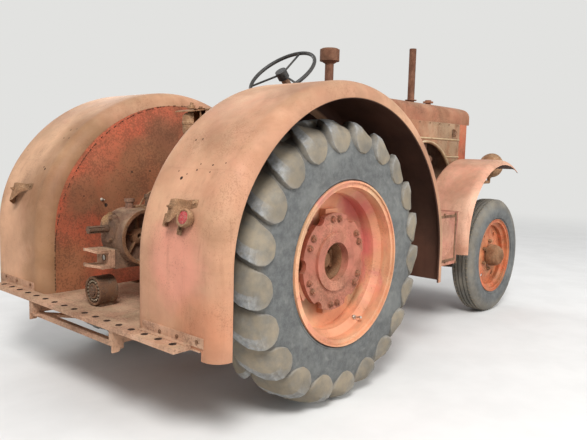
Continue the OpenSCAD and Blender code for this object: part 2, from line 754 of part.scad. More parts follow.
// The back sheets of the rear fenders, welded on behind the arches, with their legs
tongue_z = deck_z - 38;
module fender_backs() {
    color(faded) both_sides() fender_space(1) {
        translate([tight_mid.x, 0, tight_mid.y])
            revolve_y(angle = 180 - tight_angle - seam_gap_angle, from = tight_angle + seam_gap_angle)
                translate([-rear_corner, 0]) fender_profile();
        difference() {
            translate([0, 0, tongue_z - fender_z])
                linear_extrude(fender_z + tight_mid.y - tongue_z - seat_gap)
                    mirror([1, 0]) translate([-rear_inset, 0]) fender_profile();
            block([-2 * crown_r, 0, -fender_z], [0, deck_w / 2 + 6, deck_z - fender_z + seat_gap]);
        }
    }
}

// Inner walls of the rear fenders, with a gap over each axle tube
arch_step = 3;
tube_gap_r = 130;
function on_arch(r, a) = [r * cos(a), r * sin(a)];
module fender_walls() {
    r = seam_r - sheet - seat_gap;
    low = deck_z + seat_gap - fender_z;
    color(red) both_sides() fender_space(1) side_plate(wall_y, wall_y + sheet) difference() {
        polygon(concat([[r, low]], [for (a = [0:arch_step:tight_angle]) on_arch(r, a)],
            [for (a = [tight_angle:arch_step:180]) tight_mid + on_arch(r - rear_corner, a)],
            [[rear_inset - r, tight_mid.y], [rear_inset - r, low]]));
        translate([-fender_x, rear_z - fender_z]) circle(r = tube_gap_r);
        translate([-fender_x - tube_gap_r, -fender_z]) square([2 * tube_gap_r, rear_z]);
        translate([0.5 * r, -fender_z]) square([r, fender_front_z]);
    }
}

// Front fender: a wide arch with a rounded outer shoulder and a short inner flange
nose_shoulder = 60;
nose_corner = 30;
nose_front_angle = 62;
nose_low_z = 490;
nose_flange = 26;
module nose_profile() {
    difference() {
        nose_solid(0);
        nose_solid(sheet);
        translate([0, nose_wall_y + 80]) square([nose_lip_r, nose_lip_y]);
        square([nose_lip_r - nose_flange, nose_lip_y]);
    }
}

module nose_solid(inset) {
    outer = [nose_crown_r - nose_shoulder, nose_lip_y - nose_shoulder];
    inner = [nose_crown_r - nose_corner, nose_wall_y + nose_corner];
    translate(outer) circle(r = nose_shoulder - inset);
    translate(inner) circle(r = nose_corner - inset);
    translate([0, inner.y]) square([nose_crown_r - inset, outer.y - inner.y]);
    translate([0, nose_wall_y + inset]) square([inner.x, nose_corner + bond]);
    translate([0, outer.y - bond]) square([outer.x, nose_shoulder + bond - inset]);
}

module front_fenders() {
    color(faded) from_rear_axle() both_sides() translate([nose_x, 0, nose_z]) {
        revolve_y(angle = 180 - nose_front_angle, from = nose_front_angle) nose_profile();
        mirror([1, 0, 0]) translate([0, 0, nose_low_z - nose_z])
            linear_extrude(nose_z - nose_low_z - seat_gap) nose_profile();
        // Bracket from the inner flange to the hood's side
        block([-60, hood_half, nose_lip_r - 40], [0, nose_wall_y + bond, nose_crown_r - nose_corner - 8]);
    }
}

// Hood top: a sheet with round shoulders, a slightly crowned middle and a rounded front end
hood_sheet = 3;
hood_round = 70;
hood_crown_r = 850;
shoulder_y = hood_half - hood_round;
shoulder_z = hood_rise - hood_crown_r + sqrt(pow(hood_crown_r - hood_round, 2) - pow(shoulder_y, 2));
module hood_arch(inset) {
    mid = [0, hood_rise - hood_crown_r];
    ray = 1.2 * ([shoulder_y, shoulder_z] - mid);
    for (side = [-1, 1]) translate([side * shoulder_y, shoulder_z]) circle(r = hood_round - inset);
    translate([-hood_half + inset, 0]) square([hood_w - 2 * inset, shoulder_z]);
    intersection() {
        translate(mid) circle(r = hood_crown_r - inset);
        polygon([[-shoulder_y, 0], [shoulder_y, 0], [shoulder_y, shoulder_z], mid + ray,
            mid + [-ray.x, ray.y], [-shoulder_y, shoulder_z]]);
    }
}

// The closed outer form of the hood's top, drawn smaller by the inset, and cut off flat below
module hood_form(inset) {
    front = hood_front_x - inset;
    intersection() {
        rotate([90, 0, 90]) translate([0, 0, hood_back_x - inset]) linear_extrude(front - hood_back_x + inset)
            hood_arch(inset);
        side_plate(-hood_w, hood_w) {
            translate([hood_back_x - inset - bond, 0])
                square([front - hood_round - hood_back_x + inset + bond, hood_rise + bond]);
            translate([hood_back_x, 0]) square([front - hood_back_x, hood_rise - hood_round]);
            translate([front - hood_round + inset, hood_rise - hood_round]) circle(r = hood_round - inset);
        }
    }
}

exhaust_x = 1750;
exhaust_y = -100;
exhaust_r = 25;
intake_x = 1035;
intake_y = 100;
intake_r = 29;
radiator_x = hood_front_x - 180;
module hood_top() {
    color(rust) from_rear_axle() {
        difference() {
            translate([0, 0, hood_joint_z]) difference() {
                hood_form(0);
                translate([0, 0, -seat_gap]) hood_form(hood_sheet);
            }
            translate([exhaust_x, exhaust_y, hood_joint_z]) cylinder(r = exhaust_r + seat_gap, h = 200);
            translate([intake_x, intake_y, hood_joint_z]) cylinder(r = intake_r + seat_gap, h = 200);
        }
        // Radiator filler cap
        translate([radiator_x, 0, hood_top_z - 2]) {
            cylinder(r = 22, h = 24);
            translate([0, 0, 22]) cylinder(r = 40, h = 12);
            translate([0, 0, 34]) cylinder(r = 24, h = 10);
        }
    }
}

// Hood sides: flat panels with a round opening with a raised rim, and two beads
column_x = hood_front_x - 155;
bead_r_side = 7;
arch_rim = 20;
arch_rim_h = 8;
// Columns: height of a bead, where it starts in front of the rear axle
BEADS = [[1280, hood_back_x], [1150, arch_x + sqrt(pow(arch_r + arch_rim, 2) - pow(1150 - arch_z, 2))]];
module hood_sides() {
    color(primer) from_rear_axle() both_sides() {
        side_plate(hood_half - hood_sheet, hood_half) difference() {
            translate([hood_back_x, hood_low_z])
                square([column_x - hood_back_x, hood_joint_z - seat_gap - hood_low_z]);
            translate([arch_x, arch_z]) circle(r = arch_r);
        }
        side_plate(hood_half - bond, hood_half + arch_rim_h) intersection() {
            difference() {
                translate([arch_x, arch_z]) circle(r = arch_r + arch_rim);
                translate([arch_x, arch_z]) circle(r = arch_r);
            }
            translate([hood_back_x, hood_low_z]) square([column_x - hood_back_x, hood_joint_z - hood_low_z]);
        }
        for (row = BEADS) translate([0, hood_half - bond, row[0]]) bar_x(bead_r_side, row[1], column_x);
    }
}

shell_low_z = 660;
shell_t = 12;
shell_front_t = 26;
shell_round = 50;
open_half = 205;
open_low_z = 720;
open_mid_z = 1140;
module radiator_shell() {
    back = column_x + seat_gap;
    color(salmon) from_rear_axle() difference() {
        translate([0, 0, shell_low_z]) linear_extrude(hood_joint_z - seat_gap - shell_low_z) difference() {
            union() {
                translate([back, -hood_half]) square([hood_front_x - shell_round - back, hood_w]);
                for (y = [-1, 1]) translate([hood_front_x - shell_round, y * (hood_half - shell_round)])
                    circle(r = shell_round);
                translate([back, -hood_half + shell_round])
                    square([hood_front_x - back, hood_w - 2 * shell_round]);
            }
            translate([back - bond, -hood_half + shell_t])
                square([hood_front_x - shell_front_t - back + bond, hood_w - 2 * shell_t]);
        }
        block([hood_front_x - 40, -open_half, open_low_z], [hood_front_x + bond, open_half, open_mid_z]);
        translate([0, 0, open_mid_z]) bar_x(open_half, hood_front_x - 40, hood_front_x + bond);
    }
}

// Grille: upright bars in the shell's opening, on cross bars behind its face
grille_bars = 17;
bar_half_t = 3.5;
module grille() {
    half = open_half - 9;
    back = hood_front_x - shell_front_t;
    color(rust) from_rear_axle() {
        for (i = [0:grille_bars - 1]) {
            y = -half + i * 2 * half / (grille_bars - 1);
            block([back - 6, y - bar_half_t, open_low_z + 6],
                [back + 20, y + bar_half_t, open_mid_z + sqrt(pow(open_half - 5, 2) - y * y)]);
        }
        for (z = [open_low_z + 20, (open_low_z + open_mid_z) / 2, open_mid_z])
            block([back - 14, -open_half - 20, z], [back, open_half + 20, z + 14]);
    }
}

core_half_t = 40;
core_half = 225;
module radiator_core() {
    color(iron) from_rear_axle() block([radiator_x - 30 - core_half_t, -core_half, bolster_top],
        [radiator_x - 30 + core_half_t, core_half, hood_joint_z - 30]);
}

// Cowl: the bulkhead at the back of the hood, with the hole for the steering column
cowl_t = 40;
module cowl() {
    color(faded) difference() {
        from_rear_axle() {
            rotate([90, 0, 90]) translate([0, hood_joint_z, hood_back_x - cowl_t])
                linear_extrude(cowl_t - seat_gap) hood_arch(0);
            block([hood_back_x - cowl_t, -hood_half, case_top_z],
                [hood_back_x - seat_gap, hood_half, hood_joint_z + bond]);
        }
        steering_space() cylinder(r = column_r + seat_gap, h = 2 * column_len);
    }
}

// Exhaust pipe and air intake, which stand up through the hood
module stacks() {
    color(rust) from_rear_axle() {
        translate([exhaust_x, exhaust_y, riser_top]) difference() {
            union() {
                cylinder(r = exhaust_r, h = exhaust_top - riser_top);
                translate([0, 0, hood_top_z + 1 - riser_top]) cylinder(r = 42, h = 6);
            }
            translate([0, 0, 100]) cylinder(r = exhaust_r - 3, h = 1000);
        }
        translate([intake_x, intake_y, case_top_z])
            cylinder(r = intake_r, h = intake_cap_z + 18 - case_top_z);
        translate([intake_x, intake_y, intake_cap_z]) {
            cylinder(r1 = 31, r2 = 59, h = 17);
            translate([0, 0, 16]) cylinder(r = 65, h = 75);
            translate([0, 0, 90]) cylinder(r1 = 65, r2 = 52, h = 8);
        }
    }
}

// Headlamps on pipes from the radiator shell's sides
lamp_y = 392;
lamp_z = 1092;
lamp_x = hood_front_x + 140;
lamp_pipe_x = hood_front_x - 70;
lamp_pipe_z = 960;
lamp_pipe_r = 13;
LAMP_SECTION = [[0, -44], [40, -38], [72, -18], [90, 12], [96, 40], [96, 52], [84, 52], [60, 62], [0, 68]];
module headlamps() {
    foot = [lamp_pipe_x, hood_half, lamp_pipe_z];
    bend = [lamp_pipe_x, lamp_y, lamp_pipe_z];
    end = [lamp_x + 10, lamp_y, lamp_pipe_z];
    color(rust) from_rear_axle() both_sides() {
        translate([lamp_x, lamp_y, lamp_z]) rotate([0, 90, 0]) rotate_extrude() polygon(LAMP_SECTION);
        rod(foot, bend, lamp_pipe_r);
        rod(bend, end, lamp_pipe_r);
        rod(end, [end.x, end.y, lamp_z - 60], lamp_pipe_r);
        for (p = [bend, end]) translate(p) sphere(r = lamp_pipe_r);
    }
}

// Rear deck behind the fenders and between them, and the floor plates beside the gearbox
deck_front = -310;
deck_back = -rail_reach + rail_w;
floor_t = 5;
floor_front = 885;
module deck_plates() {
    color(rust) from_rear_axle() {
        translate([0, 0, deck_z - deck_t]) linear_extrude(deck_t) polygon([[deck_back, -deck_w / 2],
            [deck_back, deck_w / 2], [-700, deck_w / 2], [-700, 500], [deck_front, 500], [deck_front, -500],
            [-700, -500], [-700, -deck_w / 2]]);
        both_sides() {
            block([300, case_half + seat_gap, fender_front_z],
                [floor_front, wall_y - seat_gap, fender_front_z + floor_t]);
            block([floor_front - bond, case_half + seat_gap, fender_front_z],
                [hood_back_x, box_in - seat_gap, fender_front_z + floor_t]);
        }
    }
}

// Drawbar: the rail with its row of holes, two beams under it hung from the axle tubes, a crossbar, a
// strap with a round end and the angles at the fenders' feet
rail_half = 760;
beam_y = 330;
beam_t = 20;
beam_h = 60;
hanger_half = 110;
strap_t = 12;
module drawbar() {
    low = deck_z - deck_t;
    back = -rail_reach + 6;
    leg_x = fender_x - crown_r + rear_inset;
    angle_y = wall_y + shoulder_r + 4;
    color(rust) from_rear_axle() {
        difference() {
            block([-rail_reach, -rail_half, low], [deck_back, rail_half, low + rail_t]);
            for (i = [0:rail_holes - 1])
                translate([rail_x, (i - (rail_holes - 1) / 2) * rail_pitch, low - bond])
                    cylinder(d = rail_hole_d, h = rail_t + 2 * bond);
        }
        both_sides() {
            block([back, beam_y, low - beam_h], [hanger_half, beam_y + beam_t, low]);
            side_plate(beam_y, beam_y + beam_t) difference() {
                translate([-hanger_half, low - beam_h]) square([2 * hanger_half, rear_z - low + beam_h]);
                translate([0, rear_z]) circle(r = hanger_seat_r + seat_gap);
            }
            side_plate(beam_y + beam_t - bond, beam_y + beam_t + 8) polygon([[back, low],
                [back + 100, low], [back + 30, low - 92], [back, low - 92]]);
            // Angle at the foot of the fender
            block([leg_x - 5, angle_y, low + rail_t], [leg_x - seat_gap, lip_y - shoulder_r, low + 56]);
            block([leg_x - 28, angle_y, low + rail_t - bond], [leg_x - 4, rail_half, low + rail_t + 4]);
        }
        // Crossbar under the beams, and the strap with a round end
        translate([-rail_reach, 0, low - beam_h]) {
            block([38, -beam_y - beam_t, -24], [64, beam_y + beam_t, 0]);
            translate([0, 0, -strap_t]) linear_extrude(strap_t) {
                polygon([[14, beam_y + beam_t], [38, beam_y + beam_t], [164, 176], [136, 150],
                    [10, beam_y - 6]]);
                translate([150, 163]) circle(r = 20);
            }
        }
    }
}

// Hitch jaw: two flared lips with a pin hole, joined by a back plate
jaw_half = 64;
jaw_t = 12;
jaw_back_t = 18;
jaw_pin_r = 17;
jaw_straight = 54;
module hitch_jaw() {
    back = hitch_face_x - jaw_back_t;
    bend_x = back - jaw_straight;
    half_gap = jaw_gap / 2;
    color(rust) from_rear_axle() {
        difference() {
            block([back, -jaw_half, jaw_z - half_gap - jaw_t],
                [hitch_face_x, jaw_half, jaw_z + half_gap + jaw_t]);
            translate([0, 0, jaw_z]) bar_x(12, back - bond, hitch_face_x + bond);
        }
        for (up = [0, 1]) translate([0, 0, jaw_z]) mirror([0, 0, up]) difference() {
            side_plate(-jaw_half, jaw_half) polygon([[back + bond, half_gap], [back + bond, half_gap + jaw_t],
                [bend_x, half_gap + jaw_t], [bend_x - 66, half_gap + 26], [bend_x - 70, half_gap + 16],
                [bend_x + 2, half_gap]]);
            translate([bend_x + 10, 0, 0]) cylinder(r = jaw_pin_r, h = 200);
        }
    }
}

// Ball bearing and its drum, in a saddle on the deck under the hitch
bearing_r = 68;
bearing_w = 90;
bearing_y = 34;
module ball_bearing() {
    color(iron) from_rear_axle() translate([deck_back + 74, bearing_y, deck_z]) {
        translate([0, 0, bearing_r + 3]) difference() {
            union() {
                bar_x(bearing_r, 0, bearing_w);
                bar_x(22, -7, 20);
            }
            difference() {
                bar_x(bearing_r - 13, -bond, 8);
                bar_x(36, -2 * bond, 9);
            }
        }
        block([10, -38, 0], [bearing_w - 10, 38, 22]);
    }
}

// Curved strap brackets on the backs of the rear fenders
strap_r = 30;
strap_z = fender_z + 328;
bracket_y = lip_y - 261;
module lamp_brackets() {
    foot = seat_gap - pow(strap_r, 2) / (2 * (crown_r - rear_corner));
    color(rust) both_sides() crown_space(strap_z) translate([-foot, bracket_y, 0]) {
        for (z = [strap_r, -strap_r - 14]) block([-8, -34, z], [0, 34, z + 14]);
        difference() {
            translate([-4, 0, -strap_r - 8]) cylinder(r = strap_r + 6, h = 2 * strap_r + 16);
            translate([-4, 0, -strap_r - 9]) cylinder(r = strap_r, h = 2 * strap_r + 18);
            block([-4, -100, -100], [100, 100, 100]);
        }
    }
}

// Reflector on the right fender's back, and an old work lamp inside the right fender
reflector_r = 36;
module rear_lamps() {
    color(red) crown_space(strap_z - 36) translate([0, 125 - lip_y, 0]) bar_x(reflector_r, -40, -seat_gap);
    color(rust) from_rear_axle() {
        side_plate(-wall_y + seat_gap, -wall_y + 6)
            polygon([[-500, 1170], [-440, 1170], [-440, 1334], [-500, 1324]]);
        side_plate(-wall_y + seat_gap, -270)
            polygon([[-519, 1320], [-371, 1344], [-371, 1338], [-519, 1314]]);
        translate([-468, -330, 1215]) {
            cylinder(r = 44, h = 98);
            cylinder(r = 20, h = 110);
        }
    }
}

// Seat: a pressed pan with a raised back rim, on two bent flat springs
seat_x = 80;
seat_z = 1020;
seat_t = 4;
// Columns: distance from the middle, height of the underside
SEAT_SECTION = [[0, 0], [80, 6], [125, 16], [165, 30], [195, 52], [213, 84], [222, 118]];
spring_t = 10;
spring_r = 330;
spring_mid = [-160, seat_z - spring_r];
module seat() {
    foot_z = housing_top_z;
    bend_x = spring_mid.x - sqrt(pow(spring_r, 2) - pow(foot_z - spring_mid.y, 2));
    color(rust) from_rear_axle() {
        translate([seat_x, 0, seat_z]) {
            difference() {
                rotate_extrude() polygon(concat(SEAT_SECTION,
                    [for (i = [len(SEAT_SECTION) - 1:-1:0])
                        [max(0, SEAT_SECTION[i].x - (i > 3 ? seat_t : 0)), SEAT_SECTION[i].y + seat_t]]));
                block([60, -300, 46], [300, 300, 200]);
            }
            translate([0, 0, -spring_t]) cylinder(r = 70, h = spring_t + 6);
        }
        both_sides() side_plate(30, 62) {
            translate([-522, foot_z]) square([bend_x + 530, spring_t]);
            intersection() {
                difference() {
                    translate(spring_mid) circle(r = spring_r);
                    translate(spring_mid) circle(r = spring_r - spring_t);
                }
                translate([spring_mid.x - spring_r, foot_z]) square([spring_r, spring_r]);
            }
            translate([spring_mid.x - bond, seat_z - spring_t]) square([seat_x - spring_mid.x, spring_t]);
        }
    }
}

// Gear lever with its foot, and two pedals on the gearbox's sides
module controls() {
    color(iron) from_rear_axle() {
        translate([620, 0, lever_base_z]) cylinder(r = 28, h = 24);
        rod([620, 0, lever_base_z + 10], [560, 0, 1180], 9);
        translate([560, 0, 1190]) sphere(r = 22);
        both_sides() {
            block([770, case_half + seat_gap, 530], [800, 240, 560]);
            rod([785, 230, 545], [820, 230, 690], 10);
            block([796, 190, 684], [846, 270, 694]);
        }
    }
}

// Steering column and wheel, in the tractor's middle plane
steer_hub_x = 466;
steer_hub_z = 1605;
steer_tilt = 48;
module steering_space() {
    from_rear_axle() translate([steer_hub_x, 0, steer_hub_z]) rotate([0, 90 + steer_tilt, 0]) children();
}

column_len = 760;
column_r = 24;
wheel_shaft_r = 11;
module steering_column() {
    color(iron) steering_space() difference() {
        translate([0, 0, 34]) cylinder(r = column_r, h = column_len);
        translate([0, 0, 30]) cylinder(r = wheel_shaft_r + run_gap, h = 120);
    }
}

module steering_wheel() {
    color(black) steering_space() {
        rotate_extrude() translate([steer_wheel_d / 2 - 11, 0]) circle(r = 11);
        translate([0, 0, -22]) cylinder(r = 34, h = 50);
        cylinder(r = wheel_shaft_r, h = 140);
        for (i = [0:2]) rotate([0, 0, i * 120 + 60]) bar_x(6, 0, steer_wheel_d / 2 - 12);
    }
}

// Boxes between the front and rear fenders, with lids hinged at their inner edges
box_back = 890;
box_front = 1470;
box_low = 460;
box_high = 795;
box_in = 330;
box_out = 660;
box_wall = 4;
lid_t = 5;
hinge_y = box_in + 8;
hinge_z = box_high + 10;
hinge_pin_r = 4;
ear_x = 20;
ear_t = 16;
box_arm_w = 50;
// Arms to the gearbox and the engine. Columns: back edge, side of the casting that it meets, lower edge
BOX_ARMS = [[1010, case_half, 510], [1360, engine_half, 530]];
module side_boxes() {
    color(rust) from_rear_axle() both_sides() {
        difference() {
            block([box_back, box_in, box_low], [box_front, box_out, box_high]);
            block([box_back + box_wall, box_in + box_wall, box_low + box_wall],
                [box_front - box_wall, box_out - box_wall, box_high + bond]);
        }
        // Hinge ears with their pin
        for (x = [box_back + ear_x, box_front - ear_x - ear_t])
            block([x, box_in, box_high - 10], [x + ear_t, box_in + 16, box_high + 18]);
        translate([0, hinge_y, hinge_z])
            bar_x(hinge_pin_r, box_back + ear_x + bond, box_front - ear_x - bond);
        for (row = BOX_ARMS) translate([row[0], row[1] + seat_gap, row[2]])
            cube([box_arm_w, box_in + bond - row[1] - seat_gap, box_arm_w]);
    }
}

module box_lid(side) {
    back = box_back + ear_x + ear_t + 5;
    front = box_front - ear_x - ear_t - 5;
    low = box_high + 0.5;
    color(red) from_rear_axle() on_side(side) difference() {
        union() {
            block([box_back - 4, box_in + 22, low], [box_front + 4, box_out + 4, low + lid_t]);
            block([back, hinge_y, low + 1], [front, box_in + 23, low + lid_t]);
            translate([0, hinge_y, hinge_z]) bar_x(8, back, front);
        }
        translate([0, hinge_y, hinge_z]) bar_x(hinge_pin_r + run_gap, back - bond, front + bond);
    }
}

gearbox();
axle_tubes();
engine();
engine_fittings();
front_bolster();
front_axle();
rear_tyre(1);  // rear_left_tyre
rear_rim(1);  // rear_left_rim
rear_centre(1);  // rear_left_centre
rear_hub(1);  // rear_left_hub
rear_tyre(-1);  // rear_right_tyre
rear_rim(-1);  // rear_right_rim
rear_centre(-1);  // rear_right_centre
rear_hub(-1);  // rear_right_hub
front_tyre(1);  // front_left_tyre
front_wheel(1);  // front_left_wheel
front_hub(1);  // front_left_hub
front_tyre(-1);  // front_right_tyre
front_wheel(-1);  // front_right_wheel
front_hub(-1);  // front_right_hub
knuckle(1);  // left_knuckle
knuckle(-1);  // right_knuckle
pitman_arm();
tie_rod(1);  // left_tie_rod
tie_rod(-1);  // right_tie_rod
rear_fender(1);  // left_fender
rear_fender(-1);  // right_fender
fender_backs();
fender_walls();
front_fenders();
hood_top();
hood_sides();
radiator_shell();
grille();
radiator_core();
cowl();
stacks();
headlamps();
deck_plates();
drawbar();
hitch_jaw();
pto_shaft();
ball_bearing();
lamp_brackets();
rear_lamps();
seat();
controls();
steering_column();
steering_wheel();
side_boxes();
box_lid(1);  // left_box_lid
box_lid(-1);  // right_box_lid
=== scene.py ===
"""A vintage farm tractor with sun-bleached, rusty paint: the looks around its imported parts."""

import functools
import math
import random

import bmesh
import bpy
from mathutils import Matrix, Vector
from mathutils.bvhtree import BVHTree


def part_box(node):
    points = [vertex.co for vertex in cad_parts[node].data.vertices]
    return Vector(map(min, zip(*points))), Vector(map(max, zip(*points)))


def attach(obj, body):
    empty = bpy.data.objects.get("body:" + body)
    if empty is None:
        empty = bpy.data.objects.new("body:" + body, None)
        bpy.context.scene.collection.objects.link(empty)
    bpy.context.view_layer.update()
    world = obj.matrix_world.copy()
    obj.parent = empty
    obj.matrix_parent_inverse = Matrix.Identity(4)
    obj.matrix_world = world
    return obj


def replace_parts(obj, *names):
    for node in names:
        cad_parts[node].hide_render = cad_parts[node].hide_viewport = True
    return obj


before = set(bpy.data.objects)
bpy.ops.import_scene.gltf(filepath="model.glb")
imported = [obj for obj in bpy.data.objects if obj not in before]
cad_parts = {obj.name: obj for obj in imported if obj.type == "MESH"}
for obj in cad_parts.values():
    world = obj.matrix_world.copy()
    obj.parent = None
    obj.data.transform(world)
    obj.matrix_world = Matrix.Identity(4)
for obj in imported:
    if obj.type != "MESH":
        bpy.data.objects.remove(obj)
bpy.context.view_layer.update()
bpy.context.scene.view_settings.view_transform = "Standard"

# Places on the tractor, in metres from the middle of its footprint
REAR_AXLE = Vector((-0.87125, 0, 0.655))
FRONT_AXLE = Vector((1.34875, 0, 0.4225))
SIDES = ((1, "left"), (-1, "right"))


def place(x, y, z):
    """A point given from the rear axle's middle, x forward and z above the floor."""
    return Vector((x + REAR_AXLE.x, y, z))


def around(count, radius, start=0.0):
    """Evenly spaced points of a circle, as (across, up)."""
    return [(radius * math.cos(start + k * math.tau / count), radius * math.sin(start + k * math.tau / count))
            for k in range(count)]


# Camera, light and floor

PHOTO_WIDE, PHOTO_HIGH = 587, 440
FOCAL_PX = 618.0
SENSOR_MM = 36
EYE = Vector((-3.11425, -2.499, 1.144))


def camera_axes():
    """Right, up and ahead of the photograph's camera, behind the tractor on its right."""
    yaw, pitch, roll = (math.radians(a) for a in (48.70, 6.12, 1.49))
    ahead = Vector((math.sin(yaw) * math.cos(pitch), math.cos(yaw) * math.cos(pitch), -math.sin(pitch)))
    level = Vector((math.cos(yaw), -math.sin(yaw), 0))
    over = level.cross(ahead)
    right = math.cos(roll) * level + math.sin(roll) * over
    up = math.cos(roll) * over - math.sin(roll) * level
    return right, up, ahead


RIGHT, UP, AHEAD = camera_axes()


def look_through_camera():
    data = bpy.data.cameras.new("view")
    data.sensor_width = SENSOR_MM
    data.lens = SENSOR_MM * FOCAL_PX / PHOTO_WIDE
    data.clip_start, data.clip_end = 0.05, 200
    camera = bpy.data.objects.new("view", data)
    camera.matrix_world = Matrix.Translation(EYE) @ Matrix((RIGHT, UP, -AHEAD)).transposed().to_4x4()
    bpy.context.collection.objects.link(camera)
    bpy.context.scene.camera = camera


@functools.lru_cache(maxsize=None)
def searchable(node):
    """A node's surface, ready for rays."""
    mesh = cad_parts[node].data
    return BVHTree.FromPolygons([v.co for v in mesh.vertices], [f.vertices for f in mesh.polygons])


def sight(px, py, *nodes):
    """Where the camera sees the nearest of some nodes at a pixel of the photograph: point and normal."""
    ray = AHEAD + RIGHT * (px - PHOTO_WIDE / 2) / FOCAL_PX - UP * (py - PHOTO_HIGH / 2) / FOCAL_PX
    hits = [searchable(node).ray_cast(EYE, ray.normalized()) for node in nodes]
    return min((hit for hit in hits if hit[0] is not None), key=lambda hit: hit[3])[:2]


def hang_lamp(name, at, target, size, watts):
    data = bpy.data.lights.new(name, "AREA")
    data.shape = "DISK"
    data.size = size
    data.energy = watts
    lamp = bpy.data.objects.new(name, data)
    lamp.location = at
    lamp.rotation_euler = (Vector(target) - Vector(at)).to_track_quat("-Z", "Y").to_euler()
    bpy.context.collection.objects.link(lamp)


def light_studio():
    """Soft light from high behind the tractor's right rear, filled by a pale room."""
    hang_lamp("key", (-5.0, -4.2, 6.2), (0, 0, 0.7), 2.6, 560)
    hang_lamp("fill", (2.5, -6.5, 3.6), (0, 0, 0.8), 4.0, 230)
    hang_lamp("far_side", (2.0, 6.5, 4.5), (0, 0, 0.8), 4.0, 150)
    world = bpy.data.worlds.new("studio")
    bpy.context.scene.world = world
    world.use_nodes = True
    world.node_tree.nodes.clear()
    w = Wiring(world.node_tree)
    path = w.add("LightPath").outputs
    seen = w.math("MAXIMUM", path["Is Camera Ray"],
                  w.math("MAXIMUM", path["Is Glossy Ray"], path["Is Transmission Ray"]))
    room = w.add("Background", {"Color": (0.95, 0.97, 1.0, 1), "Strength": 0.66})
    pale = w.add("Background", {"Color": BACKDROP, "Strength": 1.0})
    both = w.add("MixShader", {0: seen, 1: room.outputs[0], 2: pale.outputs[0]})
    w.put(w.add("OutputWorld").inputs[0], both.outputs[0])


def lay_floor():
    """A pale floor that keeps the tractor's shadow and meets the backdrop's colour far away."""
    bm = bmesh.new()
    bmesh.ops.create_circle(bm, cap_ends=True, segments=64, radius=60)
    w = new_material("pale_floor")
    far = w.between(w.vector("LENGTH", w.where)["Value"], 4.5, 11)
    seen = w.times(far, w.add("LightPath").outputs["Is Camera Ray"])
    tint = w.mix(w.between(w.noise(w.where, 3, 3), 0.3, 0.7), (0.70, 0.69, 0.67, 1), (0.74, 0.73, 0.71, 1))
    near = w.add("BsdfDiffuse", {"Color": tint})
    glow = w.add("Emission", {"Color": BACKDROP, "Strength": 1.0})
    w.put(w.out, w.add("MixShader", {0: seen, 1: near.outputs[0], 2: glow.outputs[0]}).outputs[0])
    as_object("floor", bm, [w.material])


# Shader building

class Wiring:
    """Adds nodes to one tree and joins them."""

    def __init__(self, tree):
        self.tree = tree

    def put(self, socket, value):
        if isinstance(value, bpy.types.NodeSocket):
            self.tree.links.new(value, socket)
        else:
            socket.default_value = value

    def add(self, kind, inputs=None, **settings):
        node = self.tree.nodes.new("ShaderNode" + kind)
        for key, value in settings.items():
            setattr(node, key, value)
        for key, value in (inputs or {}).items():
            self.put(node.inputs[key], value)
        return node

    def noise(self, where, scale, detail=4.0, rough=0.6, twist=0.0):
        return self.add("TexNoise", {"Vector": where, "Scale": scale, "Detail": detail,
                                     "Roughness": rough, "Distortion": twist}).outputs["Fac"]

    def cells(self, where, scale):
        """How far a point is from the edge of its cell."""
        return self.add("TexVoronoi", {"Vector": where, "Scale": scale},
                        feature="DISTANCE_TO_EDGE").outputs["Distance"]

    def math(self, operation, *values, clamp=False):
        return self.add("Math", dict(enumerate(values)), operation=operation, use_clamp=clamp).outputs[0]

    def times(self, a, b, **how):
        return self.math("MULTIPLY", a, b, **how)

    def plus(self, a, b, **how):
        return self.math("ADD", a, b, **how)

    def minus(self, a, b, **how):
        return self.math("SUBTRACT", a, b, **how)

    def vector(self, operation, *values):
        return self.add("VectorMath", dict(enumerate(values)), operation=operation).outputs

    def parts(self, vector):
        return self.add("SeparateXYZ", {0: vector}).outputs

    def between(self, value, low, high, to_low=0.0, to_high=1.0):
        """0 below low, 1 above high and a soft step between them."""
        return self.add("MapRange", {"Value": value, "From Min": low, "From Max": high,
                                     "To Min": to_low, "To Max": to_high},
                        interpolation_type="SMOOTHSTEP").outputs["Result"]

    def mix(self, amount, a, b, blend="MIX"):
        node = self.add("Mix", data_type="RGBA", blend_type=blend)
        for key, value in ((0, amount), (6, a), (7, b)):
            self.put(node.inputs[key], value)
        return node.outputs[2]

    def coat(self, color, mask, share, top):
        """A colour with another laid over it, where the mask is and as thick as the share."""
        return self.mix(self.times(mask, share), color, top)

    def use(self, group, **inputs):
        node = self.tree.nodes.new("ShaderNodeGroup")
        node.node_tree = group
        for key, value in inputs.items():
            self.put(node.inputs[key], value)
        return node.outputs


def tone(red, green, blue):
    """A colour as a display shows it, 0 to 255, as the linear colour that a shader takes."""
    return tuple((c / 255 / 12.92) if c / 255 <= 0.04045 else ((c / 255 + 0.055) / 1.055) ** 2.4
                 for c in (red, green, blue)) + (1.0,)


BACKDROP = tone(226, 226, 224)
DUST_TAN = tone(178, 156, 124)
# Wheel-well dirt, made darker than the dirt itself as painted shade under the fenders
WHEEL_DIRT_AND_SHADE = tone(62, 34, 25)


def new_group(name, outputs, **inputs):
    """A shader group. None makes a vector socket, and a number a value socket with that default."""
    tree = bpy.data.node_groups.new(name, "ShaderNodeTree")
    for in_out, sockets in (("INPUT", inputs), ("OUTPUT", outputs)):
        for label, value in sockets.items():
            kind = "NodeSocketVector" if value is None else "NodeSocketFloat"
            socket = tree.interface.new_socket(name=label, in_out=in_out, socket_type=kind)
            if value is not None:
                socket.default_value = value
    return Wiring(tree), tree.nodes.new("NodeGroupInput").outputs, tree.nodes.new("NodeGroupOutput").inputs


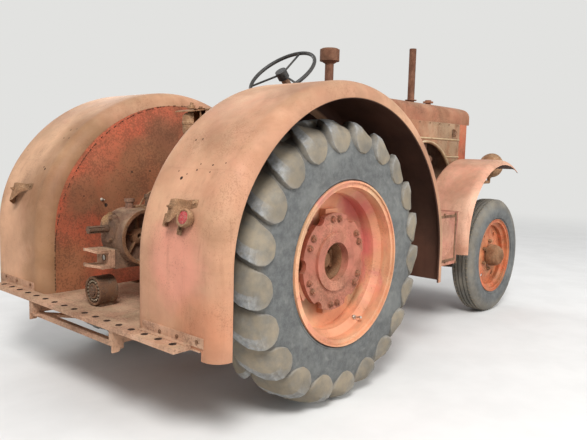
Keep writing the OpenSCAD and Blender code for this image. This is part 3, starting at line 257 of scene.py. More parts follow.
def new_material(name):
    """An empty material's wiring, with the place on the object and the way that its surface faces."""
    material = bpy.data.materials.new(name)
    material.use_nodes = True
    material.node_tree.nodes.clear()
    w = Wiring(material.node_tree)
    w.material, w.out = material, w.add("OutputMaterial").inputs["Surface"]
    spot = w.add("TexCoord").outputs
    w.where, w.facing = spot["Object"], spot["Normal"]
    return w


def coated(w, color, rough, height, depth, metal=0.0, **constants):
    """Ends a material in a Principled shader with a bump."""
    bump = w.add("Bump", {"Height": height, "Distance": depth, "Strength": 1.0}).outputs[0]
    bsdf = w.add("BsdfPrincipled", {"Base Color": color, "Roughness": rough, "Metallic": metal,
                                    "Normal": bump})
    for key, value in constants.items():
        bsdf.inputs[key.replace("_", " ")].default_value = value
    w.put(w.out, bsdf.outputs[0])
    return w.material


# Effects that several finishes share

def make_patches():
    """Cloudy patches of a given size, with ragged edges."""
    w, got, out = new_group("ragged_patches", {"Mask": 0.0}, Where=None, Size=0.3, Cover=0.5, Blur=0.08)
    big = w.noise(got["Where"], w.math("DIVIDE", 1.0, got["Size"]), 7, 0.62, 0.6)
    edge = w.minus(0.78, w.times(got["Cover"], 0.56))
    w.put(out["Mask"], w.between(big, w.minus(edge, got["Blur"]), w.plus(edge, got["Blur"])))
    return w.tree


def make_freckles():
    """Small spots of rust where the paint is thin, thick in some places and rare in others."""
    w, got, out = new_group("rust_freckles", {"Mask": 0.0, "Pits": 0.0}, Where=None, Size=0.01, Cover=0.4)
    fine = w.noise(got["Where"], w.math("DIVIDE", 1.0, got["Size"]), 5, 0.7)
    drift = w.noise(got["Where"], 5.0, 3, 0.6)
    level = w.minus(w.plus(fine, w.times(drift, 0.5)), w.minus(0.92, w.times(got["Cover"], 0.36)))
    w.put(out["Mask"], w.between(level, -0.03, 0.07))
    w.put(out["Pits"], w.minus(1.0, w.between(level, 0.0, 0.12)))
    return w.tree


def make_runs():
    """Stains that ran down from the top."""
    w, got, out = new_group("rain_runs", {"Mask": 0.0}, Where=None, Width=0.03)
    tall = w.vector("MULTIPLY", got["Where"], (1.0, 1.0, 0.09))[0]
    lines = w.noise(tall, w.math("DIVIDE", 1.0, got["Width"]), 4, 0.6, 0.2)
    cloud = w.noise(got["Where"], 2.6, 3)
    w.put(out["Mask"], w.times(w.between(lines, 0.5, 0.72), w.between(cloud, 0.38, 0.6)))
    return w.tree


def make_dust():
    """Dry dust, thicker on what faces up."""
    w, got, out = new_group("settled_dust", {"Mask": 0.0}, Where=None, Facing=None, Amount=0.4)
    lying = w.between(w.parts(got["Facing"])["Z"], 0.1, 0.95)
    cloud = w.between(w.noise(got["Where"], 11, 7, 0.68), 0.34, 0.68)
    thick = w.plus(w.times(cloud, 0.35), w.times(w.times(lying, cloud), 0.75))
    w.put(out["Mask"], w.times(got["Amount"], thick, clamp=True))
    return w.tree


def make_round_place():
    """Turns a point into its place round a wheel, and gives its distance from the axle."""
    w, got, out = new_group("round_the_axle", {"Place": None, "Radius": 0.0}, Where=None, Axle=None)
    parts = w.parts(w.vector("SUBTRACT", got["Where"], got["Axle"])[0])
    flat = w.add("CombineXYZ", {"X": parts["X"], "Z": parts["Z"]}).outputs[0]
    radius = w.vector("LENGTH", flat)["Value"]
    turn = w.math("ARCTAN2", parts["Z"], parts["X"])
    w.put(out["Radius"], radius)
    w.put(out["Place"], w.add("CombineXYZ", {
        "X": w.times(w.math("COSINE", turn), 0.25), "Y": w.times(w.math("SINE", turn), 0.25),
        "Z": w.plus(radius, w.times(parts["Y"], 1.7))}).outputs[0])
    return w.tree


def make_casting():
    """The grainy, slightly lumpy skin of a sand casting or of thick scale."""
    w, got, out = new_group("cast_skin", {"Height": 0.0}, Where=None, Grain=0.004)
    fine = w.noise(got["Where"], w.math("DIVIDE", 1.0, got["Grain"]), 3, 0.65)
    broad = w.noise(got["Where"], 28, 3, 0.6)
    w.put(out["Height"], w.plus(w.times(fine, 0.5), w.times(broad, 0.6)))
    return w.tree


def make_stain_place():
    """A soft, ragged stain round one place."""
    w, got, out = new_group("stain_place", {"Mask": 0.0}, Where=None, Centre=None, Reach=0.1)
    away = w.vector("DISTANCE", got["Where"], got["Centre"])["Value"]
    ragged = w.times(w.minus(w.noise(got["Where"], 9, 5, 0.65), 0.5), 0.9)
    share = w.plus(w.math("DIVIDE", away, got["Reach"]), ragged)
    w.put(out["Mask"], w.minus(1.0, w.between(share, 0.45, 1.1)))
    return w.tree


def make_wheel_side():
    """Finds the faces of a fender that look at the wheel, where thrown dirt sticks and where the wheel well's
    shade is painted.
    """
    w, got, out = new_group("towards_the_wheel", {"Under": 0.0, "Side": 0.0},
                            Where=None, Facing=None, Axle=None)
    off = w.vector("MULTIPLY", w.vector("SUBTRACT", got["Where"], got["Axle"])[0], (1.0, 0.0, 1.0))[0]
    inward = w.vector("DOT_PRODUCT", w.vector("NORMALIZE", off)[0], got["Facing"])["Value"]
    w.put(out["Under"], w.between(w.times(inward, -1.0), 0.35, 0.6))
    side = w.times(w.math("SIGN", w.parts(got["Where"])["Y"]), w.parts(got["Facing"])["Y"])
    w.put(out["Side"], w.between(side, 0.3, 0.7))
    return w.tree


PATCHES = make_patches()
STAIN = make_stain_place()
WHEEL_SIDE = make_wheel_side()
FRECKLES = make_freckles()
RUNS = make_runs()
DUST = make_dust()
ROUND = make_round_place()
CASTING = make_casting()


def marked(w, color, marks, share):
    """Soft marks of (centre from the rear axle, reach, colour) laid over a colour: stains, and the painted
    shade and painted sunlight that some lists hold.
    """
    for centre, reach, ink in marks:
        mask = w.use(STAIN, Where=w.where, Centre=place(*centre), Reach=reach)["Mask"]
        color = w.coat(color, mask, share, tone(*ink))
    return color


def weathered(name, colours, fade=0.5, worn=0.5, freckled=0.5, runs=0.3, dust=0.2, size=0.4, rough=0.62,
              grain=0.006, depth=0.0008, axle=None, rust=0.7, speck=0.4, blur=0.12,
              stains_and_painted_shade=(), grime_and_shade=None, painted_sunlight=()):
    """Old paint on sheet or casting: bleached in patches, worn through to rust, freckled and stained.

    The colours are the paint's, the faded paint's, bare rust's and dark rust's. Grime and shade is the mask
    of the side that looks at a wheel, and that wheel's axle: thrown dirt there, with painted shade of the
    wheel well.
    """
    paint, faded, bare, dark = (tone(*c) for c in colours)
    w = new_material(name)
    where = across = w.where
    if axle is not None:
        across = w.use(ROUND, Where=where, Axle=axle)["Place"]
    elsewhere = w.add("Mapping", {"Vector": across, "Location": (3.1, 1.7, 5.3)}).outputs["Vector"]
    cloud = w.use(PATCHES, Where=across, Size=size, Cover=fade, Blur=0.16)["Mask"]
    thin = w.use(PATCHES, Where=elsewhere, Size=size * 0.55, Cover=worn, Blur=blur)["Mask"]
    spots = w.use(FRECKLES, Where=where, Size=grain * 1.6, Cover=freckled)
    shade = w.noise(across, 1.4 / size, 5, 0.6)
    color = w.coat(w.mix(cloud, paint, faded), thin, rust, bare)
    color = marked(w, color, stains_and_painted_shade, 0.8)
    color = w.coat(color, spots["Mask"], speck, dark)
    color = w.coat(color, w.use(RUNS, Where=where)["Mask"], runs, dark)
    color = w.mix(w.use(DUST, Where=where, Facing=w.facing, Amount=dust)["Mask"], color, DUST_TAN)
    # Thrown dirt on the faces that look at a wheel, darkened further as painted shade of the wheel well
    if grime_and_shade is not None:
        mask, wheel = grime_and_shade
        looks = w.use(WHEEL_SIDE, Where=where, Facing=w.facing, Axle=wheel)[mask]
        lighter_dirt_and_shade = tuple(c * 1.5 for c in WHEEL_DIRT_AND_SHADE[:3]) + (1.0,)
        color = w.coat(color, looks, 0.94, w.mix(w.between(shade, 0.3, 0.7), WHEEL_DIRT_AND_SHADE, lighter_dirt_and_shade))
    # Lighter patches on the walls' lower front, laid over the dirt: painted sunlight
    color = marked(w, color, painted_sunlight, 0.85)
    cast = w.mix(w.between(shade, 0.25, 0.75), tone(205, 203, 200), (1, 1, 1, 1))
    color = w.mix(1.0, color, cast, "MULTIPLY")
    skin = w.use(CASTING, Where=where, Grain=grain)["Height"]
    height = w.minus(w.plus(w.times(skin, 0.7), w.times(spots["Pits"], 0.45)), w.times(thin, 0.25))
    gloss = w.plus(rough, w.times(w.plus(thin, spots["Mask"]), 0.13), clamp=True)
    return coated(w, color, gloss, height, depth, Specular_IOR_Level=0.35)


def rubbed_steel(name, bright, dull, rust, cover, rough=0.42):
    """Bare steel, rubbed bright where it is used and rusty elsewhere."""
    w = new_material(name)
    rusty = w.use(PATCHES, Where=w.where, Size=0.06, Cover=cover, Blur=0.12)["Mask"]
    spots = w.use(FRECKLES, Where=w.where, Size=0.006, Cover=cover)["Mask"]
    color = w.mix(rusty, w.mix(w.noise(w.where, 40, 4), tone(*bright), tone(*dull)), tone(*rust))
    color = w.coat(color, spots, 0.7, tone(74, 52, 40))
    skin = w.use(CASTING, Where=w.where, Grain=0.003)["Height"]
    metal = w.minus(0.9, w.times(rusty, 0.9), clamp=True)
    gloss = w.plus(rough, w.times(rusty, 0.35), clamp=True)
    return coated(w, color, gloss, skin, 0.0004, metal)


def dusty_rubber(name, axle, shoulder_r, tread_r, dusty):
    """Old tyre rubber: slate grey on the side, tan dust on the lugs, rubbed light where they carry, a pale
    bluish grey that is partly painted sheen.
    """
    w = new_material(name)
    where = w.where
    about = w.use(ROUND, Where=where, Axle=axle)
    rubbed_sheen, lug = (w.add("Attribute", attribute_name=each).outputs["Fac"] for each in ("rubbed_sheen", "lug"))
    scuff = w.noise(where, 30, 8, 0.72)
    cloud = w.noise(where, 6, 4, 0.55)
    rings = w.noise(about["Place"], 34, 4, 0.55)
    base = w.mix(w.between(scuff, 0.3, 0.72), tone(74, 76, 77), tone(104, 106, 105))
    base = w.coat(base, w.between(cloud, 0.45, 0.7), 0.4, tone(122, 124, 121))
    base = w.coat(base, w.between(rings, 0.55, 0.7), 0.2, tone(140, 140, 134))
    tread = w.between(about["Radius"], shoulder_r, tread_r)
    patchy = w.between(w.noise(where, 14, 8, 0.68), 0.3, 0.66, 0.45, 1.0)
    lying = w.times(w.math("MAXIMUM", lug, w.times(tread, 0.45)), dusty)
    amount = w.times(w.plus(lying, 0.06), patchy, clamp=True)
    tan = w.mix(w.between(cloud, 0.35, 0.65), tone(128, 116, 97), tone(148, 134, 112))
    # The worn lands turn pale bluish grey: rubbed rubber, and a painted reflection on it
    bright = w.times(rubbed_sheen, w.between(w.noise(where, 45, 6, 0.7), 0.3, 0.6, 0.35, 0.95))
    pale = w.mix(w.between(scuff, 0.35, 0.65), tone(118, 121, 124), tone(160, 162, 162))
    color = w.mix(bright, w.mix(amount, base, tan), pale)
    cracks = w.between(w.cells(where, 70.0), 0.0, 0.08)
    height = w.plus(w.times(w.noise(where, 260, 3, 0.7), 0.4), w.times(cracks, 0.15))
    height = w.plus(height, w.times(rings, 0.5))
    return coated(w, color, w.between(scuff, 0.2, 0.8, 0.66, 0.92), height, 0.0006, Specular_IOR_Level=0.35)


def dull_plastic(name):
    """Black moulded plastic, dulled and finely scratched."""
    w = new_material(name)
    dull = w.noise(w.where, 30, 6, 0.7)
    color = w.mix(w.between(dull, 0.35, 0.7), tone(26, 26, 27), tone(62, 58, 53))
    skin = w.use(CASTING, Where=w.where, Grain=0.002)["Height"]
    return coated(w, color, w.between(dull, 0.2, 0.8, 0.35, 0.7), skin, 0.0003)


def lens_glass(name, lit, shade, scale):
    """Moulded glass of a reflector or lamp: small pressed cells under a smooth, dusty face, their middles in
    the lit colour and their edges in the shade colour as painted glints.
    """
    w = new_material(name)
    edge = w.between(w.cells(w.where, scale), 0.02, 0.22)
    dusty = w.between(w.noise(w.where, 60, 5, 0.7), 0.4, 0.75)
    color = w.coat(w.mix(edge, tone(*shade), tone(*lit)), dusty, 0.35, DUST_TAN)
    return coated(w, color, w.between(dusty, 0, 1, 0.16, 0.5), edge, 0.0006, Coat_Weight=0.6)


# The paint's, faded paint's, bare rust's and dark rust's colours, and what differs from the usual.
# Stains, painted shade and patches of painted sunlight are (centre from the rear axle, reach, colour).
WEATHERED = {
    "fender_paint": (((196, 142, 112), (206, 160, 126), (160, 116, 84), (122, 82, 58)),
        dict(worn=0.42, freckled=0.2, runs=0.22, dust=0.25, size=0.5, grain=0.004, rust=0.6, speck=0.3,
             blur=0.2,
             stains_and_painted_shade=(((-0.8, -0.66, 0.72), 0.2, (214, 142, 120)), ((-0.82, 0.76, 0.62), 0.3, (222, 170, 134)),
                     ((-0.66, 0.74, 1.1), 0.32, (226, 178, 142)), ((-0.3, 0.7, 1.42), 0.3, (224, 174, 138)),
                     # The four brown marks along y 0.44 follow the left fender's roll beside the wall:
                     # painted shade
                     ((-0.74, 0.44, 0.5), 0.2, (158, 116, 80)), ((-0.74, 0.44, 0.72), 0.2, (158, 114, 78)),
                     ((-0.7, 0.44, 0.95), 0.2, (152, 108, 74)), ((-0.55, 0.44, 1.16), 0.2, (158, 116, 80)),
                     ((-0.76, -0.8, 0.5), 0.16, (196, 130, 96))), grime_and_shade=("Under", REAR_AXLE))),
    "wall_paint": (((200, 96, 66), (190, 106, 76), (150, 96, 66), (106, 68, 48)),
        dict(fade=0.4, worn=0.4, freckled=0.45, runs=0.2, dust=0.1, rust=0.55, speck=0.5, blur=0.14,
             stains_and_painted_shade=[((-0.08, 0.387, 1.2), 0.17, (142, 96, 66)), ((-0.28, 0.387, 1.1), 0.13, (138, 92, 62)),
                     ((-0.15, 0.387, 0.98), 0.24, (160, 106, 72)),
                     ((-0.39, 0.387, 0.9), 0.18, (150, 102, 70)), ((-0.59, 0.387, 0.9), 0.13, (146, 98, 68)),
                     ((-0.71, 0.387, 0.52), 0.22, (168, 112, 76)), ((0.15, 0.387, 1.0), 0.25, (152, 98, 68)),
                     ((-0.13, -0.387, 1.0), 0.3, (132, 88, 58)), ((-0.58, -0.387, 0.7), 0.25, (140, 94, 62))],
             grime_and_shade=("Side", REAR_AXLE),
             # Painted sunlight on each wall's lower front, inside the fender
             painted_sunlight=(((0.66, -0.39, 0.66), 0.28, (196, 120, 90)), ((0.66, 0.39, 0.66), 0.28, (186, 112, 84)),
                      ((0.74, -0.39, 0.46), 0.16, (206, 156, 116))))),
    "hood_top_paint": (((166, 102, 74), (178, 122, 92), (138, 92, 64), (100, 64, 46)),
        dict(worn=0.45, freckled=0.35, dust=0.35)),
    "hood_side_paint": (((166, 136, 104), (178, 146, 116), (156, 104, 74), (112, 84, 62)),
        dict(worn=0.4, freckled=0.4, runs=0.5, size=0.25, speck=0.45,
             stains_and_painted_shade=(((1.4, -0.28, 1.2), 0.45, (172, 112, 80)),))),
    "shell_paint": (((186, 92, 60), (180, 118, 86), (146, 92, 64), (100, 66, 48)),
        dict(worn=0.4, freckled=0.35, size=0.22)),
    "nose_fender_paint": (((220, 156, 130), (228, 180, 152), (180, 128, 98), (128, 88, 64)),
        dict(worn=0.4, freckled=0.25, runs=0.35, dust=0.3, grain=0.004, rust=0.6, speck=0.35, blur=0.18,
             grime_and_shade=("Under", FRONT_AXLE))),
    "box_paint": (((192, 116, 100), (200, 146, 120), (156, 104, 78), (108, 74, 56)),
        dict(worn=0.45, freckled=0.3, runs=0.35, dust=0.3, size=0.3)),
    "front_wheel_enamel": (((212, 108, 66), (206, 140, 98), (166, 104, 68), (104, 66, 46)),
        dict(fade=0.45, worn=0.35, freckled=0.3, runs=0.1, dust=0.3, size=0.2, rough=0.5, axle=FRONT_AXLE,
             speck=0.45)),
    "rear_rim_enamel": (((228, 154, 116), (222, 182, 142), (218, 124, 120), (156, 100, 68)),
        dict(fade=0.45, worn=0.3, freckled=0.2, runs=0.1, size=0.3, rough=0.5, axle=REAR_AXLE, rust=0.75,
             speck=0.35,
             stains_and_painted_shade=(((0.24, -0.64, 0.8), 0.14, (214, 186, 144)), ((0.32, -0.7, 0.72), 0.12, (228, 120, 118)),
                     ((0.22, -0.72, 0.92), 0.13, (206, 92, 92)), ((0.3, -0.66, 0.54), 0.1, (226, 130, 122)),
                     ((0.24, 0.64, 0.8), 0.14, (214, 186, 144))))),
    # The cast centres' colours are darkened as painted shade, since they sit deep inside the rims
    "shaded_centre_enamel": (((186, 112, 92), (190, 128, 102), (150, 92, 70), (96, 62, 46)),
        dict(fade=0.4, worn=0.4, freckled=0.35, runs=0.1, size=0.2, grain=0.005)),
    "hub_iron": (((168, 118, 82), (150, 112, 80), (138, 84, 52), (84, 54, 38)),
        dict(freckled=0.55, dust=0.4, size=0.15, rough=0.75, grain=0.004, depth=0.0012)),
    "deck_rust": (((196, 150, 122), (208, 166, 138), (166, 122, 94), (104, 76, 58)),
        dict(freckled=0.42, runs=0.1, dust=0.45, size=0.25, rough=0.75, rust=0.6, speck=0.45)),
    "case_iron": (((112, 88, 74), (150, 108, 86), (132, 88, 62), (62, 48, 40)),
        dict(worn=0.45, runs=0.4, dust=0.55, size=0.22, rough=0.75, grain=0.005, depth=0.0014,
             stains_and_painted_shade=(((-0.7, 0.03, 0.845), 0.055, (206, 156, 104)),))),
    "red_iron": (((150, 74, 54), (140, 88, 66), (104, 70, 50), (62, 46, 38)),
        dict(dust=0.4, size=0.2, rough=0.72, grain=0.005, depth=0.0014)),
    "strap_rust": (((176, 130, 94), (190, 150, 114), (142, 98, 66), (84, 58, 42)),
        dict(freckled=0.55, dust=0.4, size=0.06, rough=0.75, grain=0.003)),
    "stack_rust": (((124, 80, 62), (142, 98, 74), (104, 64, 46), (74, 50, 40)),
        dict(runs=0.5, size=0.12, rough=0.8, grain=0.003)),
    "grille_steel": (((120, 98, 80), (140, 112, 88), (112, 72, 50), (60, 46, 38)), dict(dust=0.3, size=0.1)),
    "bolt_rust": (((124, 84, 58), (146, 104, 74), (96, 64, 46), (66, 46, 36)),
        dict(runs=0.0, dust=0.4, size=0.03, rough=0.7, grain=0.002)),
    "bead_paint": (((196, 172, 134), (206, 182, 148), (168, 128, 92), (116, 86, 62)),
        dict(worn=0.35, freckled=0.4, runs=0.1, size=0.1, grain=0.003, speck=0.5)),
    "red_bolt": (((190, 116, 92), (168, 104, 78), (128, 84, 62), (84, 56, 42)),
        dict(runs=0.0, dust=0.3, size=0.03, rough=0.7, grain=0.002)),
    "seam_rust": (((92, 62, 44), (120, 82, 56), (76, 50, 38), (50, 36, 30)),
        dict(freckled=0.6, runs=0.0, dust=0.1, size=0.03, rough=0.85, grain=0.003)),
}

# Bright, dull and rusty colours, how much is rusty, and roughness
STEELS = {
    "shaft_steel": ((150, 138, 120), (104, 90, 76), (110, 76, 52), 0.62),
    # Nearly black, for the painted shade inside holes
    "painted_hole_shade": ((30, 22, 18), (40, 28, 22), (24, 18, 15), 0.8, 0.9),
    "bright_steel": ((206, 200, 190), (168, 160, 148), (140, 106, 76), 0.3),
    "ball_steel": ((150, 138, 120), (120, 100, 78), (104, 76, 54), 0.4),
}

FINISH = {
    **{name: weathered(name, colours, **how) for name, (colours, how) in WEATHERED.items()},
    **{name: rubbed_steel(name, *row) for name, row in STEELS.items()},
    **{name: dull_plastic(name) for name in ("black_grip", "dial_face")},
    "rear_rubber": dusty_rubber("rear_rubber", REAR_AXLE, 0.53, 0.575, 0.82),
    "front_rubber": dusty_rubber("front_rubber", FRONT_AXLE, 0.33, 0.40, 1.0),
    "red_lens": lens_glass("red_lens", (196, 34, 48), (112, 14, 24), 210.0),
    "lamp_glass": lens_glass("lamp_glass", (214, 216, 210), (160, 164, 160), 120.0),
}

# Which nodes wear a finish
FINISHED_NODES = {
    "case_iron": "gearbox engine engine_fittings left_knuckle right_knuckle pitman_arm radiator_core "
                 "steering_column",
    "red_iron": "axle_tubes front_bolster front_axle",
    "rear_rubber": "rear_left_tyre rear_right_tyre",
    "rear_rim_enamel": "rear_left_rim rear_right_rim",
    "shaded_centre_enamel": "rear_left_centre rear_right_centre",
    "hub_iron": "rear_left_hub rear_right_hub front_left_hub front_right_hub",
    "front_rubber": "front_left_tyre front_right_tyre",
    "front_wheel_enamel": "front_left_wheel front_right_wheel",
    "shaft_steel": "left_tie_rod right_tie_rod pto_shaft ball_bearing controls",
    "fender_paint": "left_fender right_fender fender_backs",
    "wall_paint": "fender_walls",
    "nose_fender_paint": "front_fenders",
    "hood_top_paint": "hood_top cowl",
    "hood_side_paint": "hood_sides",
    "shell_paint": "radiator_shell",
    "grille_steel": "grille",
    "stack_rust": "stacks",
    "strap_rust": "headlamps lamp_brackets rear_lamps seat",
    "deck_rust": "deck_plates drawbar hitch_jaw",
    "black_grip": "steering_wheel",
    "box_paint": "side_boxes left_box_lid right_box_lid",
}
NODE_FINISH = {node: finish for finish, nodes in FINISHED_NODES.items() for node in nodes.split()}


def paint_nodes():
    for name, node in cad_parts.items():
        for slot in node.material_slots:
            slot.material = FINISH[NODE_FINISH[name]]


# Building pieces

def as_object(name, bm, materials):
    mesh = bpy.data.meshes.new(name)
    bm.to_mesh(mesh)
    bm.free()
    for material in materials:
        mesh.materials.append(material)
    made = bpy.data.objects.new(name, mesh)
    bpy.context.collection.objects.link(made)
    return made


def mend(bm):
    """Merges doubles and turns all faces outward."""
    bmesh.ops.remove_doubles(bm, verts=bm.verts, dist=1e-5)
    bmesh.ops.recalc_face_normals(bm, faces=bm.faces)


def finished(name, bm, finishes, smooth=32, body="chassis", slot="iron_rusty"):
    """Turns a bmesh into a piece of a body. Edges flatter than smooth, in degrees, are shaded smooth."""
    for face in bm.faces:
        face.smooth = True
    for edge in bm.edges:
        if len(edge.link_faces) == 2 and edge.calc_face_angle(0) > math.radians(smooth):
            edge.smooth = False
    piece = as_object(name, bm, [FINISH[each] for each in finishes.split()])
    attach(piece, body)
    return piece


def mended(name, bm, *how, **more):
    """Mends a bmesh and finishes it."""
    mend(bm)
    return finished(name, bm, *how, **more)


# Shapes that several pieces share. A place is a matrix, whose Z is the normal of the surface it stands on.

def facing(at, normal):
    return Matrix.Translation(at) @ Vector(normal).to_track_quat("Z", "Y").to_matrix().to_4x4()


def shift(x, y, z):
    return Matrix.Translation((x, y, z))


def spun(angle):
    return Matrix.Rotation(angle, 4, "Z")


def turned(bm, line, steps, out, axis):
    """Spins a closed line of (radius, distance along the axis) round an axis through the origin."""
    verts = [bm.verts.new(out * r + axis * a) for r, a in line]
    edges = [bm.edges.new(pair) for pair in zip(verts, verts[1:] + verts[:1])]
    bmesh.ops.spin(bm, geom=verts + edges, axis=axis, angle=math.tau, steps=steps, use_merge=True)


def add_turned(bm, where, line, steps):
    """Spins a closed line of (radius, height) round the place's Z."""
    old = set(bm.verts)
    turned(bm, line, steps, Vector((1, 0, 0)), Vector((0, 0, 1)))
    bmesh.ops.transform(bm, matrix=where, verts=[v for v in bm.verts if v not in old])


def break_edges(bm, edges, width):
    bmesh.ops.bevel(bm, geom=list(dict.fromkeys(edges)), offset=width, offset_type="OFFSET", segments=1,
                    profile=0.5, affect="EDGES", material=-1)


def add_disc(bm, where, radius, low, high, sides=20, chamfer=0.0):
    """A short round bar from low to high along the place's Z, with its edges broken."""
    made = bmesh.ops.create_cone(bm, cap_ends=True, segments=sides, radius1=radius, radius2=radius,
                                 depth=high - low, matrix=where @ shift(0, 0, (low + high) / 2))["verts"]
    if chamfer:
        break_edges(bm, [e for v in made for e in v.link_edges
                         if len({len(f.verts) for f in e.link_faces}) == 2], chamfer)


def add_block(bm, where, low, high, chamfer=0.0):
    """A block between two corners in the place's own space, with its edges broken."""
    low, high = Vector(low), Vector(high)
    made = bmesh.ops.create_cube(bm, size=1, matrix=where @ Matrix.Translation((low + high) / 2)
                                 @ Matrix.Diagonal((high - low).to_4d()))["verts"]
    if chamfer:
        break_edges(bm, [e for v in made for e in v.link_edges], chamfer)


def add_bolt(bm, where, size, spin=0.3, washer=True, stud=0.0):
    """A hexagon head or nut on its washer. The size is the thread's diameter."""
    base = 0.0
    if washer:
        add_disc(bm, where, size * 1.15, -0.001, size * 0.18, 18, size * 0.05)
        base = size * 0.18
    add_disc(bm, where @ spun(spin), size * 0.92, base - 0.001, base + size * 0.68, 6, size * 0.1)
    if stud:
        add_disc(bm, where, size * 0.46, base, base + size * 0.68 + stud, 12, size * 0.08)


def add_pipe(bm, path, radius, sides=10):
    """A bar of round section along a path, closed at both ends."""
    first = last = bmesh.ops.create_circle(bm, segments=sides, radius=radius)["verts"]
    edges = list(dict.fromkeys(e for v in first for e in v.link_edges))
    flat = [v.co.copy() for v in first]
    for k, point in enumerate(path):
        before, after = path[max(k - 1, 0)], path[min(k + 1, len(path) - 1)]
        section = facing(point, after - before)
        if k:
            grown = bmesh.ops.extrude_edge_only(bm, edges=edges)["geom"]
            last = [g for g in grown if isinstance(g, bmesh.types.BMVert)]
            edges = [g for g in grown if isinstance(g, bmesh.types.BMEdge)]
        for v, co in zip(last, flat):
            v.co = section @ co
    for end in (first, last):
        bmesh.ops.contextual_create(bm, geom=end)


def add_strap(bm, where, rows, thick):
    """A bent strap. Rows: place across, height off the surface, lower and upper edge along the surface."""
    made = bmesh.ops.create_grid(bm, x_segments=len(rows) - 1, y_segments=1, size=1)["verts"]
    for v in made:
        across, proud, low, high = rows[round((v.co.x + 1) / 2 * (len(rows) - 1))]
        v.co = where @ Vector((across, low if v.co.y < 0 else high, proud))
    bmesh.ops.solidify(bm, geom=list({f for v in made for f in v.link_faces}), thickness=thick)


def smooth_line(points, steps):
    """A curve through the points, with more points on it."""
    pts = [Vector(p) for p in points]
    ends = [2 * pts[0] - pts[1]] + pts + [2 * pts[-1] - pts[-2]]
    line = []
    for a, b, c, d in zip(ends, ends[1:], ends[2:], ends[3:]):
        for k in range(steps):
            t = k / steps
            line.append(0.5 * (2 * b + (c - a) * t + (2 * a - 5 * b + 4 * c - d) * t ** 2
                               + (3 * b - a - 3 * c + d) * t ** 3))
    return line + [pts[-1]]


def coat_since(bm, old, index):
    """Gives the faces made since then their own finish."""
    for face in bm.faces:
        if face not in old:
            face.material_index = index


def bolt_piece(name, spots, size, finish="bolt_rust", stud=0.0, washer=True, body="chassis",
               slot="iron_rusty"):
    """Bolts at (point, normal) places, each turned its own way."""
    rng = random.Random(name)
    bm = bmesh.new()
    for at, normal in spots:
        spin = rng.uniform(0, 1)
        add_bolt(bm, facing(at, normal) @ spun(spin), size * rng.uniform(0.94, 1.06), 0.0, washer, stud)
    mended(name, bm, finish, 30, body, slot)


# Tyres

class TyreSide:
    """One side of a tyre's outline, measured along it from the middle of the tread."""

    def __init__(self, points):
        self.line = [Vector((r, y)) for r, y in points]
        self.reach = [0.0]
        for a, b in zip(self.line, self.line[1:]):
            self.reach.append(self.reach[-1] + (b - a).length)

    def at(self, s):
        """Radius and side of the surface, and its normal, s along the outline."""
        if s < 0:
            point, normal = self.at(-s)
            return Vector((point.x, -point.y)), Vector((normal.x, -normal.y))
        k = max(i for i, r in enumerate(self.reach[:-1]) if r <= s)
        a, b = self.line[k], self.line[k + 1]
        step = (b - a).normalized()
        return a + step * (s - self.reach[k]), Vector((step.y, -step.x))


def read_table(table, share, column):
    """A value between the rows of a table, at a share of its length."""
    spot = share * (len(table) - 1)
    k = min(int(spot), len(table) - 2)
    a, b = table[k][column], table[k + 1][column]
    return a + (b - a) * (spot - k)


# Sections of a lug. Columns: place across it as a share of half its width, height as a share of its
# height, and how far it is rubbed and painted with sheen. On the tread it is a worn land behind a long slope,
# with a steep drop.
TREAD_SECTION = [
    (-1.13, -0.25, 0), (-1.0, 0.72, 0.2), (-0.965, 0.95, 0.8), (-0.93, 1.0, 1), (-0.6, 1.01, 0.8),
    (-0.36, 0.99, 0.7), (-0.31, 0.96, 0.0), (-0.05, 0.74, 0), (0.25, 0.52, 0), (0.55, 0.34, 0),
    (0.85, 0.20, 0), (1.02, 0.10, 0), (1.20, -0.25, 0)]
SHOULDER_SECTION = [
    (-1.06, -0.25, 0), (-1.0, 0.70, 0.4), (-0.965, 0.95, 0.5), (-0.92, 1.0, 0.2), (-0.6, 0.98, 0),
    (-0.34, 0.93, 0), (-0.1, 0.87, 0), (0.15, 0.80, 0), (0.40, 0.72, 0), (0.65, 0.64, 0), (0.92, 0.54, 0),
    (0.99, 0.36, 0.3), (1.05, -0.25, 0)]
# Columns: place along the outline, lead round the tyre, half its width, height, share of the section's
# height, and share of the shoulder's section
REAR_LUG = [
    (-0.020, 0.094, 0.044, 0.020, -0.25, 0), (-0.006, 0.088, 0.050, 0.034, 0.8, 0),
    (0.010, 0.081, 0.056, 0.0365, 1, 0), (0.040, 0.064, 0.064, 0.0365, 1, 0),
    (0.070, 0.047, 0.072, 0.0365, 1, 0), (0.100, 0.030, 0.078, 0.0365, 1, 0),
    (0.122, 0.017, 0.080, 0.0365, 1, 0.1), (0.138, 0.009, 0.080, 0.034, 1, 0.4),
    (0.152, 0.004, 0.079, 0.029, 1, 0.75), (0.166, 0.001, 0.077, 0.0235, 1, 1),
    (0.180, -0.001, 0.073, 0.019, 1, 1), (0.194, -0.002, 0.065, 0.0155, 1, 1),
    (0.206, -0.002, 0.054, 0.013, 1, 1), (0.216, -0.002, 0.041, 0.011, 1, 1),
    (0.223, -0.002, 0.028, 0.009, 0.9, 1), (0.228, -0.002, 0.013, 0.007, -0.25, 1)]
FRONT_LUG = [
    (0.0595, 0.0, 0.0030, 0.002, -0.3, 1), (0.062, 0, 0.0034, 0.003, 1, 1),
    (0.070, 0, 0.0046, 0.0045, 1, 1), (0.080, 0, 0.0052, 0.005, 1, 1), (0.090, 0, 0.0048, 0.0045, 1, 1),
    (0.0925, 0, 0.0036, 0.003, -0.3, 1)]
